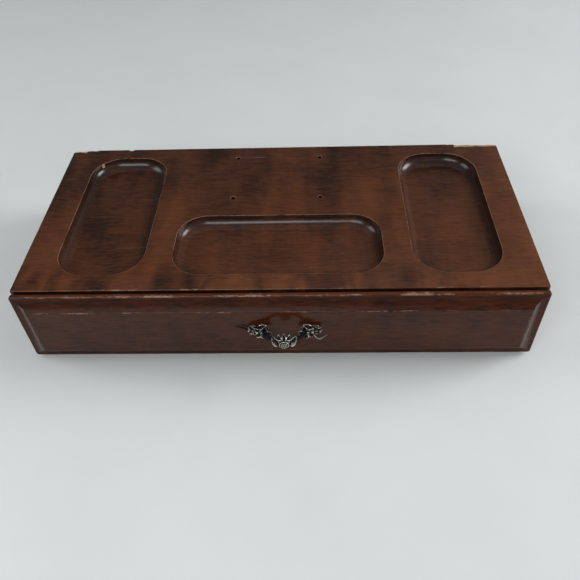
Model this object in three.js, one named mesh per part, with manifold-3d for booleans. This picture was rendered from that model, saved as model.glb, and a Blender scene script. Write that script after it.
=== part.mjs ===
// A low wooden chip case with one full-width drawer, in millimetres.
// +X is to the right, +Y towards the back, +Z up. The origin is on the table, under the middle of the case.
import * as THREE from "three";
import { mergeVertices } from "three/addons/utils/BufferGeometryUtils.js";
import Module from "manifold-3d";

// ---- Driving dimensions ----

const CASE_WIDTH = 406;
const CASE_DEPTH = 191;
const TOTAL_HEIGHT = 72;
const BACK_Y = 111.25;
const CASE_FRONT_Y = BACK_Y - CASE_DEPTH;
const WALL = 9.5;
const FOOT_HEIGHT = 2;
const FOOT_RADIUS = 8;
const BASE_THICKNESS = 5;
const TOP_THICKNESS = 16;
const TOP_ARRIS = 1.5;
const RUNNER_HEIGHT = 1.5;
const RUNNER_WIDTH = 8;

const TRAY_DEPTH = 9.5;
const TRAYS = [
  { x: -141.5, y: 16.25, width: 70, depth: 159.5, corner: 27 },
  { x: 0, y: -27.75, width: 168, depth: 71, corner: 24.5 },
  { x: 141.5, y: 16.25, width: 70, depth: 159.5, corner: 27 },
];
const FITTING_HOLE_RADIUS = 2.15;
const FITTING_HOLE_DEPTH = 9;
const FITTING_CENTRE = { x: -3.25, y: 62.75 };
const FITTING_SPACING = { x: 76.5, y: 61 };

const FRONT_GAP = 2;
const FRONT_WIDTH = 405.5;
const FRONT_THICKNESS = 9.5;
const FRONT_TOP = 71.25;
const FRONT_BOTTOM = 2;
const FRONT_Y = CASE_FRONT_Y - FRONT_GAP - FRONT_THICKNESS;
const COVE_RADIUS = 12.75;
const COVE_RISE = 5.25;
const COVE_LAND = 2;

const BOX_WALL = 8;
const BOX_WIDTH = 385;
const BOX_BACK_Y = 101.25;
const BOX_BOTTOM = 8.75;
const BOX_TOP = 54;
const BOTTOM_THICKNESS = 3;
const BOTTOM_Z = 10.5;
const GROOVE_DEPTH = 3;
const SLACK = 0.25;

const CHIP_TROUGH_RADIUS = 20.25;
const TROUGHS_PER_RACK = 3;
const TROUGH_PITCH = 43.25;
const RACK_WIDTH = 131;
const RACK_HEIGHT = 20;
const TROUGH_FLOOR = 1.75;
const PARTITION = 4;
const PARTITION_HEIGHT = 36;
const LINING = 1.25;

const PULL_X = 5.75;
const PULL_Z = 41;
const PULL_REACH = 20;
const PULL_SPACING = 38;
const PULL_BOW_REACH = 13.5;
const PULL_BOW_RISE = 1.5;
const LEFT_LEAF_TIP = [-39.25, 2.25];
const RIGHT_LEAF_TIP = [33, -7];

const WOOD_SCREW = { head: 3.75, shank: 1.75, length: 20 };
const FRONT_SCREW = { head: 3.75, shank: 1.75, length: 14 };
const PULL_SCREW = { head: 4, headHeight: 2.5, shank: 2, length: 19 };
const WASHER = { radius: 5, hole: 2.25, thickness: 1 };
const COUNTERBORE = { radius: 5.75, depth: 4 };

const CASE_TOP_Z = TOTAL_HEIGHT - TOP_THICKNESS;
const BASE_TOP_Z = FOOT_HEIGHT + BASE_THICKNESS;
const SIDE_HEIGHT = CASE_TOP_Z - BASE_TOP_Z;
const CASE_MIDDLE_Y = BACK_Y - CASE_DEPTH / 2;
const BOX_FRONT_Y = CASE_FRONT_Y - FRONT_GAP;
const BOX_INNER_WIDTH = BOX_WIDTH - 2 * BOX_WALL;
const BOX_INNER_DEPTH = BOX_BACK_Y - BOX_FRONT_Y - 2 * BOX_WALL;
const BOX_MIDDLE_Y = (BOX_BACK_Y + BOX_FRONT_Y) / 2;
const BOX_FLOOR_Z = BOTTOM_Z + BOTTOM_THICKNESS;
const WELL_WIDTH = BOX_INNER_WIDTH - 2 * RACK_WIDTH - 2 * PARTITION;
const WELL_DEPTH = (BOX_INNER_DEPTH - PARTITION) / 2;

const ROUND_STEPS = 16;
const WELD = 1e-4;

// ---- Materials ----

/** A plain standard material of one piece. */
function material(color, roughness, metalness) {
  return new THREE.MeshStandardMaterial({ color, roughness, metalness });
}

const finish = {
  stainedWood: () => material(0x4a2a1e, 0.38, 0),
  frontWood: () => material(0x43281d, 0.36, 0),
  drawerWood: () => material(0x8a6a48, 0.6, 0),
  plywood: () => material(0x9c7a52, 0.7, 0),
  baize: () => material(0x1d4a33, 0.95, 0),
  felt: () => material(0x2b2a28, 0.95, 0),
  agedSilver: () => material(0x8f8a80, 0.38, 1),
  steel: () => material(0x9a9a98, 0.35, 1),
  brassPlate: () => material(0xa8874a, 0.4, 1),
};

// ---- Joining and cutting ----

const wasm = await Module();
wasm.setup();

/** A closed geometry as a solid: its seams are welded and its collapsed faces dropped. */
function solidOf(geometry) {
  const bare = geometry.clone();
  bare.deleteAttribute("normal");
  bare.deleteAttribute("uv");
  const welded = mergeVertices(bare, WELD);
  const corners = Array.from(welded.index.array);
  const kept = [];
  for (let i = 0; i < corners.length; i += 3) {
    const face = corners.slice(i, i + 3);
    if (new Set(face).size === 3) {
      kept.push(...face);
    }
  }
  const mesh = new wasm.Mesh({
    numProp: 3,
    vertProperties: welded.attributes.position.array,
    triVerts: new Uint32Array(kept),
  });
  return new wasm.Manifold(mesh);
}

/** A solid as a geometry that three.js draws, with flat faces. */
function geometryOf(solid) {
  const mesh = solid.getMesh();
  const geometry = new THREE.BufferGeometry();
  geometry.setAttribute("position", new THREE.BufferAttribute(mesh.vertProperties, 3));
  geometry.setIndex(new THREE.BufferAttribute(mesh.triVerts, 1));
  geometry.computeVertexNormals();
  return geometry;
}

/** The first geometry with all the others cut out of it. */
function carve(base, cutters) {
  return geometryOf(cutters.reduce((left, cutter) => left.subtract(solidOf(cutter)), solidOf(base)));
}

/** All the geometries joined into one. */
function fuse(pieces) {
  return geometryOf(pieces.slice(1).reduce((sum, piece) => sum.add(solidOf(piece)), solidOf(pieces[0])));
}

/** What the first geometry shares with the second. */
function keepInside(base, limit) {
  return geometryOf(solidOf(base).intersect(solidOf(limit)));
}

// ---- Small shapes ----

/** A board with the middle of its underside at its origin. */
function board(width, depth, height) {
  return new THREE.BoxGeometry(width, depth, height).translate(0, 0, height / 2);
}

/** A profile of [radius, height] points turned about the Z axis. */
function turned(points, steps = ROUND_STEPS) {
  const profile = points.map(([radius, height]) => new THREE.Vector2(radius, height));
  return new THREE.LatheGeometry(profile, steps).rotateX(Math.PI / 2);
}

/** A round bar standing on its origin. */
function roundBar(radius, height, steps = ROUND_STEPS) {
  return new THREE.CylinderGeometry(radius, radius, height, steps)
    .rotateX(Math.PI / 2)
    .translate(0, 0, height / 2);
}

/** The outline of a rectangle with rounded corners, about its middle. */
function roundedOutline(width, depth, corner) {
  const x = width / 2 - corner;
  const y = depth / 2 - corner;
  const quarter = Math.PI / 2;
  const outline = new THREE.Shape();
  outline.absarc(x, -y, corner, -quarter, 0);
  outline.absarc(x, y, corner, 0, quarter);
  outline.absarc(-x, y, corner, quarter, 2 * quarter);
  outline.absarc(-x, -y, corner, 2 * quarter, 3 * quarter);
  return outline;
}

/** Turns a shape that rises along +Z so that it comes forward, along -Y, with its own +Y up. */
function facingForward(geometry) {
  return geometry.rotateX(Math.PI / 2);
}

/** A named mesh at its place. */
function piece(name, geometry, look, place = [0, 0, 0]) {
  const mesh = new THREE.Mesh(geometry, look());
  mesh.name = name;
  mesh.position.set(...place);
  return mesh;
}

// ---- Fasteners ----

/** A countersunk screw that points along +Z, its head's flat face at its origin. */
function countersunkScrew({ head, shank, length }) {
  const sink = head - shank;
  return turned([
    [0, 0],
    [head, 0],
    [shank, sink],
    [shank, length - 2 * shank],
    [0, length],
  ], 12);
}

/** The space that a countersunk screw needs, open past its head's face. */
function countersunkHole({ head, shank, length }) {
  const sink = head - shank;
  return turned([
    [0, -1],
    [head + SLACK, -1],
    [head + SLACK, 0],
    [shank + SLACK, sink],
    [shank + SLACK, length + SLACK],
    [0, length + SLACK],
  ], 12);
}

/** A pan-head machine screw that points along +Z, the underside of its head at its origin. */
function panHeadScrew({ head, headHeight, shank, length }) {
  const edge = 0.75;
  return turned([
    [0, -headHeight],
    [head - edge, -headHeight],
    [head, -headHeight + edge],
    [head, 0],
    [shank, 0],
    [shank, length - edge],
    [shank - edge, length],
    [0, length],
  ], 12);
}

/** A flat washer lying on its origin. */
function washer({ radius, hole, thickness }) {
  const ring = new THREE.Shape().absarc(0, 0, radius, 0, 2 * Math.PI);
  ring.holes.push(new THREE.Path().absarc(0, 0, hole, 0, 2 * Math.PI));
  return new THREE.ExtrudeGeometry(ring, { depth: thickness, bevelEnabled: false, curveSegments: 16 });
}

// The screws that hold the base under the sides and the back.
const SIDE_MIDDLE_X = (CASE_WIDTH - WALL) / 2;
const BASE_SCREW_SPOTS = [
  [-SIDE_MIDDLE_X, -50],
  [-SIDE_MIDDLE_X, 80],
  [SIDE_MIDDLE_X, -50],
  [SIDE_MIDDLE_X, 80],
  [-100, BACK_Y - WALL / 2],
  [100, BACK_Y - WALL / 2],
];

// The screws that hold the drawer's inner front to its outer front, and those of the pull.
const FRONT_SCREW_SPOTS = [
  [-160, 22],
  [-160, 44],
  [160, 22],
  [160, 44],
];
const PULL_SCREW_SPOTS = [-1, 1].map((side) => [PULL_X + (side * PULL_SPACING) / 2, PULL_Z]);
const BOX_INSIDE_Y = BOX_FRONT_Y + BOX_WALL;
const WASHER_Y = BOX_INSIDE_Y - COUNTERBORE.depth;
const PULL_SCREW_Y = WASHER_Y + WASHER.thickness;

/** The spaces of the base screws, seen from a piece's own origin. */
function baseScrewHoles([x, y, z]) {
  return BASE_SCREW_SPOTS.map(([spotX, spotY]) =>
    countersunkHole(WOOD_SCREW).translate(spotX - x, spotY - y, FOOT_HEIGHT - z),
  );
}

/** The spaces of the screws in the drawer's two fronts, seen from a piece's own origin. */
function frontScrewHoles([x, y, z]) {
  const plain = FRONT_SCREW_SPOTS.map(([spotX, spotZ]) =>
    facingForward(countersunkHole(FRONT_SCREW)).translate(spotX - x, BOX_INSIDE_Y - y, spotZ - z),
  );
  const pull = PULL_SCREW_SPOTS.map(([spotX, spotZ]) =>
    facingForward(roundBar(PULL_SCREW.shank + SLACK, PULL_SCREW.length + WASHER.thickness + SLACK))
      .translate(spotX - x, PULL_SCREW_Y + WASHER.thickness - y, spotZ - z),
  );
  return [...plain, ...pull];
}

// ---- The case ----

/** A dished tray's space: straight at the rim, then a cove down to a flat floor. */
function traySpace({ width, depth, corner }) {
  const floor = roundedOutline(width - 2 * TRAY_DEPTH, depth - 2 * TRAY_DEPTH, corner - TRAY_DEPTH);
  const above = 4;
  return new THREE.ExtrudeGeometry(floor, {
    depth: above,
    bevelThickness: TRAY_DEPTH,
    bevelSize: TRAY_DEPTH,
    bevelSegments: 5,
    curveSegments: 6,
  });
}

/** The top board: rounded upper arrises, three dished trays and the four holes of a lost fitting. */
function topBoard() {
  const outline = roundedOutline(CASE_WIDTH - 2 * TOP_ARRIS, CASE_DEPTH - 2 * TOP_ARRIS, 0.5);
  const slab = new THREE.ExtrudeGeometry(outline, {
    depth: TOP_THICKNESS,
    bevelThickness: TOP_ARRIS,
    bevelSize: TOP_ARRIS,
    bevelSegments: 3,
    curveSegments: 2,
  }).translate(0, 0, -TOP_ARRIS);
  const room = board(CASE_WIDTH + 20, CASE_DEPTH + 20, TOP_THICKNESS);
  const trays = TRAYS.map((tray) =>
    traySpace(tray).translate(tray.x, tray.y - CASE_MIDDLE_Y, TOP_THICKNESS),
  );
  const holes = [-1, 1].flatMap((across) =>
    [-1, 1].map((back) =>
      roundBar(FITTING_HOLE_RADIUS, FITTING_HOLE_DEPTH + 1).translate(
        FITTING_CENTRE.x + (across * FITTING_SPACING.x) / 2,
        FITTING_CENTRE.y - CASE_MIDDLE_Y + (back * FITTING_SPACING.y) / 2,
        TOP_THICKNESS - FITTING_HOLE_DEPTH,
      ),
    ),
  );
  return carve(keepInside(slab, room), [...trays, ...holes]);
}

/** The case: everything that stays still when the drawer is pulled. */
function caseGroup() {
  const group = new THREE.Group();
  const topPlace = [0, CASE_MIDDLE_Y, CASE_TOP_Z];
  group.add(piece("top_board", topBoard(), finish.stainedWood, topPlace));

  for (const [name, side] of [["left", -1], ["right", 1]]) {
    const place = [side * SIDE_MIDDLE_X, CASE_MIDDLE_Y, BASE_TOP_Z];
    const panel = carve(board(WALL, CASE_DEPTH, SIDE_HEIGHT), baseScrewHoles(place));
    group.add(piece(`${name}_side_panel`, panel, finish.stainedWood, place));
  }

  const backPlace = [0, BACK_Y - WALL / 2, BASE_TOP_Z];
  const back = carve(board(CASE_WIDTH - 2 * WALL, WALL, SIDE_HEIGHT), baseScrewHoles(backPlace));
  group.add(piece("back_panel", back, finish.stainedWood, backPlace));

  const basePlace = [0, CASE_MIDDLE_Y, FOOT_HEIGHT];
  const base = carve(board(CASE_WIDTH, CASE_DEPTH, BASE_THICKNESS), baseScrewHoles(basePlace));
  group.add(piece("base_panel", base, finish.stainedWood, basePlace));

  const runnerLength = CASE_DEPTH - WALL;
  for (const [name, side] of [["left", -1], ["right", 1]]) {
    const runner = board(RUNNER_WIDTH, runnerLength, RUNNER_HEIGHT);
    const x = (side * (BOX_WIDTH - BOX_WALL)) / 2;
    const place = [x, CASE_FRONT_Y + runnerLength / 2, BASE_TOP_Z];
    group.add(piece(`${name}_drawer_runner`, runner, finish.drawerWood, place));
  }

  for (const [name, x, y] of [
    ["front_left", -185, -62],
    ["front_right", 185, -62],
    ["back_left", -185, 94],
    ["back_right", 185, 94],
  ]) {
    group.add(piece(`${name}_foot_pad`, roundBar(FOOT_RADIUS, FOOT_HEIGHT, 24), finish.felt, [x, y, 0]));
  }

  BASE_SCREW_SPOTS.forEach(([x, y], i) => {
    group.add(piece(`base_screw_${i + 1}`, countersunkScrew(WOOD_SCREW), finish.steel, [x, y, FOOT_HEIGHT]));
  });
  return group;
}

// ---- The drawer ----

/** A cutter that runs along X and hollows the front face beside an edge at y = 0, the face being z = 0. */
function coveCutter(length) {
  const drop = Math.acos(1 - COVE_RISE / COVE_RADIUS);
  const reach = COVE_LAND + COVE_RADIUS * Math.sin(drop);
  const section = new THREE.Shape();
  section.moveTo(-2, 3);
  section.lineTo(-2, -COVE_RISE);
  section.lineTo(COVE_LAND, -COVE_RISE);
  const steps = 6;
  for (let i = 1; i <= steps; i += 1) {
    const angle = (drop * i) / steps;
    const along = COVE_LAND + COVE_RADIUS * Math.sin(angle);
    section.lineTo(along, -COVE_RISE + COVE_RADIUS * (1 - Math.cos(angle)));
  }
  section.lineTo(reach, 3);
  const cutter = new THREE.ExtrudeGeometry(section, { depth: length, bevelEnabled: false });
  // The section's x becomes +Y, its y becomes +Z, and the extrusion runs along X.
  return cutter.translate(0, 0, -length / 2).applyMatrix4(
    new THREE.Matrix4().makeBasis(
      new THREE.Vector3(0, 1, 0),
      new THREE.Vector3(0, 0, 1),
      new THREE.Vector3(1, 0, 0),
    ),
  );
}

/** The drawer's outer front: a raised flat field inside a cove that runs round all four edges. */
function drawerFront(place) {
  const height = FRONT_TOP - FRONT_BOTTOM;
  const slab = board(FRONT_WIDTH, height, FRONT_THICKNESS).translate(0, 0, -FRONT_THICKNESS);
  const long = FRONT_WIDTH + 20;
  const coves = [
    coveCutter(long).translate(0, -height / 2, 0),
    coveCutter(long).rotateZ(Math.PI).translate(0, height / 2, 0),
    coveCutter(height + 20).rotateZ(Math.PI / 2).translate(FRONT_WIDTH / 2, 0, 0),
    coveCutter(height + 20).rotateZ(-Math.PI / 2).translate(-FRONT_WIDTH / 2, 0, 0),
  ];
  return carve(facingForward(carve(slab, coves)), frontScrewHoles(place));
}

/** A chip rack: a block with half-round troughs that run from front to back. */
function chipRack() {
  const half = RACK_WIDTH / 2;
  const centre = TROUGH_FLOOR + CHIP_TROUGH_RADIUS;
  const dip = Math.asin((centre - RACK_HEIGHT) / CHIP_TROUGH_RADIUS);
  const mouth = CHIP_TROUGH_RADIUS * Math.cos(dip);
  const section = new THREE.Shape();
  section.moveTo(-half, 0);
  section.lineTo(half, 0);
  section.lineTo(half, RACK_HEIGHT);
  for (let i = TROUGHS_PER_RACK - 1; i >= 0; i -= 1) {
    const x = (i - (TROUGHS_PER_RACK - 1) / 2) * TROUGH_PITCH;
    section.lineTo(x + mouth, RACK_HEIGHT);
    section.absarc(x, centre, CHIP_TROUGH_RADIUS, -dip, dip - Math.PI, true);
  }
  section.lineTo(-half, RACK_HEIGHT);
  const length = BOX_INNER_DEPTH;
  return new THREE.ExtrudeGeometry(section, { depth: length, bevelEnabled: false, curveSegments: 14 })
    .rotateX(Math.PI / 2)
    .translate(0, length / 2, 0);
}

/** The drawer: its outer front, the box behind it and what is fitted inside. */
function drawerGroup() {
  const group = new THREE.Group();
  const frontPlace = [0, FRONT_Y, (FRONT_TOP + FRONT_BOTTOM) / 2];
  group.add(piece("drawer_front", drawerFront(frontPlace), finish.frontWood, frontPlace));

  const boxHeight = BOX_TOP - BOX_BOTTOM;
  const boxDepth = BOX_BACK_Y - BOX_FRONT_Y;
  const bottomWidth = BOX_INNER_WIDTH + 2 * GROOVE_DEPTH;
  const bottomDepth = BOX_INNER_DEPTH + 2 * GROOVE_DEPTH;
  const grooveAt = ([x, y, z]) =>
    board(bottomWidth + 2 * SLACK, bottomDepth + 2 * SLACK, BOTTOM_THICKNESS + SLACK)
      .translate(-x, BOX_MIDDLE_Y - y, BOTTOM_Z - z);

  const innerPlace = [0, BOX_FRONT_Y + BOX_WALL / 2, BOX_BOTTOM];
  const counterbores = PULL_SCREW_SPOTS.map(([x, z]) =>
    facingForward(roundBar(COUNTERBORE.radius, COUNTERBORE.depth + 1))
      .translate(x, BOX_INSIDE_Y + 1 - innerPlace[1], z - BOX_BOTTOM),
  );
  const innerFront = carve(board(BOX_INNER_WIDTH, BOX_WALL, boxHeight), [
    grooveAt(innerPlace),
    ...counterbores,
    ...frontScrewHoles(innerPlace),
  ]);
  group.add(piece("drawer_inner_front", innerFront, finish.drawerWood, innerPlace));

  const backPlace = [0, BOX_BACK_Y - BOX_WALL / 2, BOX_BOTTOM];
  const back = carve(board(BOX_INNER_WIDTH, BOX_WALL, boxHeight), [grooveAt(backPlace)]);
  group.add(piece("drawer_back", back, finish.drawerWood, backPlace));

  for (const [name, side] of [["left", -1], ["right", 1]]) {
    const place = [(side * (BOX_WIDTH - BOX_WALL)) / 2, BOX_MIDDLE_Y, BOX_BOTTOM];
    const wall = carve(board(BOX_WALL, boxDepth, boxHeight), [grooveAt(place)]);
    group.add(piece(`drawer_${name}_side`, wall, finish.drawerWood, place));
  }

  const bottom = board(bottomWidth, bottomDepth, BOTTOM_THICKNESS);
  group.add(piece("drawer_bottom", bottom, finish.plywood, [0, BOX_MIDDLE_Y, BOTTOM_Z]));

  for (const [name, side] of [["left", -1], ["right", 1]]) {
    const x = (side * (BOX_INNER_WIDTH - RACK_WIDTH)) / 2;
    group.add(piece(`chip_rack_${name}`, chipRack(), finish.baize, [x, BOX_MIDDLE_Y, BOX_FLOOR_Z]));
    const partition = board(PARTITION, BOX_INNER_DEPTH, PARTITION_HEIGHT);
    const wallX = (side * (WELL_WIDTH + PARTITION)) / 2;
    group.add(piece(`well_partition_${name}`, partition, finish.drawerWood, [wallX, BOX_MIDDLE_Y, BOX_FLOOR_Z]));
  }

  const divider = board(WELL_WIDTH, PARTITION, PARTITION_HEIGHT);
  group.add(piece("well_divider", divider, finish.drawerWood, [0, BOX_MIDDLE_Y, BOX_FLOOR_Z]));
  for (const [name, side] of [["front", -1], ["back", 1]]) {
    const y = BOX_MIDDLE_Y + (side * (WELL_DEPTH + PARTITION)) / 2;
    const lining = board(WELL_WIDTH, WELL_DEPTH, LINING);
    group.add(piece(`well_lining_${name}`, lining, finish.baize, [0, y, BOX_FLOOR_Z]));
  }

  FRONT_SCREW_SPOTS.forEach(([x, z], i) => {
    const screw = facingForward(countersunkScrew(FRONT_SCREW));
    group.add(piece(`drawer_front_screw_${i + 1}`, screw, finish.steel, [x, BOX_INSIDE_Y, z]));
  });
  return group;
}

// ---- The pull ----

/** The outline of an open flower with its lobes evenly round it. */
function flowerOutline(radius, lobes, notch) {
  const steps = lobes * 8;
  const points = Array.from({ length: steps }, (_, i) => {
    const angle = (2 * Math.PI * i) / steps;
    const reach = radius * (1 - notch * (0.5 - 0.5 * Math.cos(lobes * angle)));
    return new THREE.Vector2(reach * Math.cos(angle), reach * Math.sin(angle));
  });
  return new THREE.Shape(points);
}

/** A flower plate with softened edges, standing forward of z. */
function flower(radius, lobes, notch, z, thickness) {
  const soft = thickness / 4;
  return new THREE.ExtrudeGeometry(flowerOutline(radius - soft, lobes, notch), {
    depth: thickness - 2 * soft,
    bevelThickness: soft,
    bevelSize: soft,
    bevelSegments: 1,
  }).translate(0, 0, z + soft);
}

/** A dome whose top reaches z. */
function dome(radius, flatness, z) {
  return new THREE.SphereGeometry(radius, 14, 8)
    .rotateX(Math.PI / 2)
    .scale(1, 1, flatness)
    .translate(0, 0, z - radius * flatness);
}

/** A leaf that lies on the face, from its stem to its tip, bowed to one side. */
function leaf(stem, tip, bow, width, thickness) {
  const start = new THREE.Vector2(...stem);
  const end = new THREE.Vector2(...tip);
  const along = end.clone().sub(start);
  const across = new THREE.Vector2(-along.y, along.x).normalize();
  const middle = start.clone().addScaledVector(along, 0.45);
  const outer = middle.clone().addScaledVector(across, bow + width);
  const inner = middle.clone().addScaledVector(across, bow - width);
  const outline = new THREE.Shape();
  outline.moveTo(start.x, start.y);
  outline.quadraticCurveTo(inner.x, inner.y, end.x, end.y);
  outline.quadraticCurveTo(outer.x, outer.y, start.x, start.y);
  return new THREE.ExtrudeGeometry(outline, { depth: thickness, bevelEnabled: false, curveSegments: 8 });
}

/** The cast pull: a bow between two flowers on posts, a third flower at its front and a leaf at each end. */
function pull(place) {
  const half = PULL_SPACING / 2;
  const bow = new THREE.CatmullRomCurve3([
    new THREE.Vector3(-half, 0, 3),
    new THREE.Vector3(-half + 4, 0.25, 7.5),
    new THREE.Vector3(-half / 2, 1, 12),
    new THREE.Vector3(0, PULL_BOW_RISE, PULL_BOW_REACH),
    new THREE.Vector3(half / 2, 1, 12),
    new THREE.Vector3(half - 4, 0.25, 7.5),
    new THREE.Vector3(half, 0, 3),
  ]);
  const section = new THREE.Shape().absellipse(0, 0, 2.2, 2.6, 0, 2 * Math.PI);
  const parts = [
    new THREE.ExtrudeGeometry(section, {
      steps: 24,
      bevelEnabled: false,
      curveSegments: 5,
      extrudePath: bow,
    }),
    flower(10, 8, 0.22, PULL_BOW_REACH - 0.5, 3).translate(0, PULL_BOW_RISE, 0),
    roundBar(3.2, 3.5).translate(0, PULL_BOW_RISE, PULL_BOW_REACH),
    dome(3.6, 0.85, PULL_REACH).translate(0, PULL_BOW_RISE, 0),
  ];
  for (const side of [-1, 1]) {
    parts.push(roundBar(4.5, 6).translate(side * half, 0, 0));
    parts.push(flower(7.6, 5, 0.3, 4, 2.8).rotateZ(side * 0.4).translate(side * half, 0.5, 0));
    parts.push(dome(2.3, 0.8, 8.4).translate(side * half, 0.5, 0));
    parts.push(flower(4.6, 4, 0.25, 2.2, 2.4).translate(side * (half + 8.2), 1, 0));
    parts.push(roundBar(2.4, 3).translate(side * (half + 7), 1, 0));
  }
  parts.push(leaf([-half - 3, -1], LEFT_LEAF_TIP, -2, 2.2, 2));
  parts.push(leaf([half + 3, -2], RIGHT_LEAF_TIP, 1.5, 2.2, 2));
  const cast = facingForward(fuse(parts));
  return carve(cast, frontScrewHoles(place));
}

/** The pull and the screws and washers that hold it through both fronts. */
function pullGroup() {
  const group = new THREE.Group();
  const place = [PULL_X, FRONT_Y, PULL_Z];
  group.add(piece("drawer_pull", pull(place), finish.agedSilver, place));
  PULL_SCREW_SPOTS.forEach(([x, z], i) => {
    const screw = facingForward(panHeadScrew(PULL_SCREW));
    group.add(piece(`pull_screw_${i + 1}`, screw, finish.steel, [x, PULL_SCREW_Y, z]));
    const ring = facingForward(washer(WASHER));
    group.add(piece(`pull_washer_${i + 1}`, ring, finish.brassPlate, [x, PULL_SCREW_Y, z]));
  });
  return group;
}

// ---- The whole case ----

const chipCase = new THREE.Group();
chipCase.add(caseGroup());
const drawer = drawerGroup();
drawer.add(pullGroup());
chipCase.add(drawer);

export default chipCase;
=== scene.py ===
"""A low wooden chip case with one drawer.

The top has three dished trays. The drawer has a coved front with a cast flower pull, and holds chip racks and
card wells. Everything is in metres and stands in the frame's own place.
"""

import logging
import math
from collections.abc import Callable, Iterable, Sequence
from dataclasses import dataclass, field, replace
from enum import Enum

import bmesh
import bpy
from bmesh.types import BMEdge, BMesh, BMFace, BMVert
from mathutils import Matrix, Vector, noise


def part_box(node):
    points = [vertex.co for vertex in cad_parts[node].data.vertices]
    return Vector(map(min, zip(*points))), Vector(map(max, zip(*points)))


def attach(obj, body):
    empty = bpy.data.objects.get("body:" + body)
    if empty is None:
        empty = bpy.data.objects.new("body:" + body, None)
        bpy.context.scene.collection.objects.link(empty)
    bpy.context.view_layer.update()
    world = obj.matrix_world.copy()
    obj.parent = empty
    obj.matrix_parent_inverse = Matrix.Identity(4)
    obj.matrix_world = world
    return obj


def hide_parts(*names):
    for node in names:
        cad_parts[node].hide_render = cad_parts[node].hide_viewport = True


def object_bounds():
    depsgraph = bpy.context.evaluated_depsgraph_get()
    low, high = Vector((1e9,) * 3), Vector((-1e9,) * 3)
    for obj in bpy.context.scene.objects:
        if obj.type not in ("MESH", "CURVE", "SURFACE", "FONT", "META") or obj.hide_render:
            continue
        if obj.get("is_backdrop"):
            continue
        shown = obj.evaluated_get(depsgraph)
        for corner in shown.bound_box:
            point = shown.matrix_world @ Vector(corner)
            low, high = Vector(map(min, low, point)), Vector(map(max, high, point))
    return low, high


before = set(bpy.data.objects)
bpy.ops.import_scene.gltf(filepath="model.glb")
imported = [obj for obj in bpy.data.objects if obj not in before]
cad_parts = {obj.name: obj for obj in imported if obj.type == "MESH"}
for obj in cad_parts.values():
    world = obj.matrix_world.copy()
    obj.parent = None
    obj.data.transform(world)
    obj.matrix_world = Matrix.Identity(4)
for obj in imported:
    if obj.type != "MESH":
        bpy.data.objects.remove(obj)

MM = 0.001
TINY = 1e-5
UP = Vector((0.0, 0.0, 1.0))
BACKWARD = Vector((0.0, 1.0, 0.0))
FORWARD = -BACKWARD
SWEEP_RISE = Vector((0.0, 0.31, 0.95))
"""The direction that a swept section's thickness leans towards."""
SHADE_DARKENS = 0.55
# How far a full shade mark, darker stain together with painted shade, lowers the tone of stained wood.
"""How far a full shade mark lowers the tone of stained wood."""
FULL_SHADE = 0.3
"""The shade mark from which the lacquer is as dull as it gets."""
LACQUER_IOR = 1.42
CURL_BAND = (-48 * MM, -70 * MM)
"""Where along Y the curl of a board's front edge starts and where it is full."""
LOG = logging.getLogger("chip_case")
Colour = tuple[float, float, float, float]
Scale = tuple[float, float, float]


def rgb(red: float, green: float, blue: float) -> Colour:
    """Gives an opaque linear colour."""
    return (red, green, blue, 1.0)


class Body(Enum):
    """The two bodies that the pieces ride on."""

    CASE = "case"
    DRAWER = "drawer"


class GrainRun(Enum):
    """How a board's coordinates turn so that its grain runs along the pattern's X."""

    ALONG_X = (0.0, 0.0, 0.0)
    ALONG_Y = (0.0, 0.0, -math.pi / 2)


# ---------------------------------------------------------------- mesh tools


def block(low: Vector, high: Vector) -> BMesh:
    """Makes a box between two corners.

    Args:
        low: The lowest corner.
        high: The highest corner.

    Returns:
        A closed box whose faces point outwards.
    """
    bm = bmesh.new()
    bmesh.ops.create_cube(bm, size=1.0)
    bmesh.ops.scale(bm, vec=high - low, verts=bm.verts)
    bmesh.ops.translate(bm, vec=(low + high) / 2, verts=bm.verts)
    return bm


def round_edges(bm: BMesh, edges: Iterable[BMEdge], radius: float, segments: int) -> None:
    """Rounds edges over.

    Args:
        bm: The mesh that holds the edges.
        edges: The edges to round.
        radius: How far back from each edge the rounding starts.
        segments: How many facets the rounding has.
    """
    bmesh.ops.bevel(
        bm,
        geom=list(edges),
        offset=radius,
        offset_type="OFFSET",
        segments=segments,
        profile=0.5,
        affect="EDGES",
        material=-1,
        clamp_overlap=True,
    )


def edges_along(bm: BMesh, axis: int) -> list[BMEdge]:
    """Finds the edges that run along one axis (0 for X, 1 for Y, 2 for Z)."""
    return [e for e in bm.edges if abs((e.verts[1].co - e.verts[0].co).normalized()[axis]) > 0.999]


def edges_at(bm: BMesh, axis: int, place: float) -> list[BMEdge]:
    """Finds the edges that lie in the plane where one coordinate has a given value."""
    return [e for e in bm.edges if all(abs(v.co[axis] - place) < TINY for v in e.verts)]


def thicken(bm: BMesh) -> list[BMVert]:
    """Gives an open sheet a second skin; returns its corners, which still lie on the old ones."""
    made = bmesh.ops.extrude_face_region(bm, geom=bm.faces[:])
    return [item for item in made["geom"] if isinstance(item, BMVert)]


def bar(radius: float, length: float, start: Vector, axis: Vector, sides: int = 32) -> BMesh:
    """Makes a closed round bar.

    Args:
        radius: The bar's radius.
        length: The bar's length.
        start: The middle of its first end.
        axis: The direction in which it runs.
        sides: How many sides it has.

    Returns:
        The closed bar.
    """
    bm = bmesh.new()
    bmesh.ops.create_cone(
        bm, cap_ends=True, cap_tris=False, segments=sides, radius1=radius, radius2=radius, depth=length
    )
    bmesh.ops.translate(bm, vec=(0.0, 0.0, length / 2), verts=bm.verts)
    turn = UP.rotation_difference(axis).to_matrix().to_4x4()
    bmesh.ops.transform(bm, matrix=Matrix.Translation(start) @ turn, verts=bm.verts)
    return bm


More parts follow.
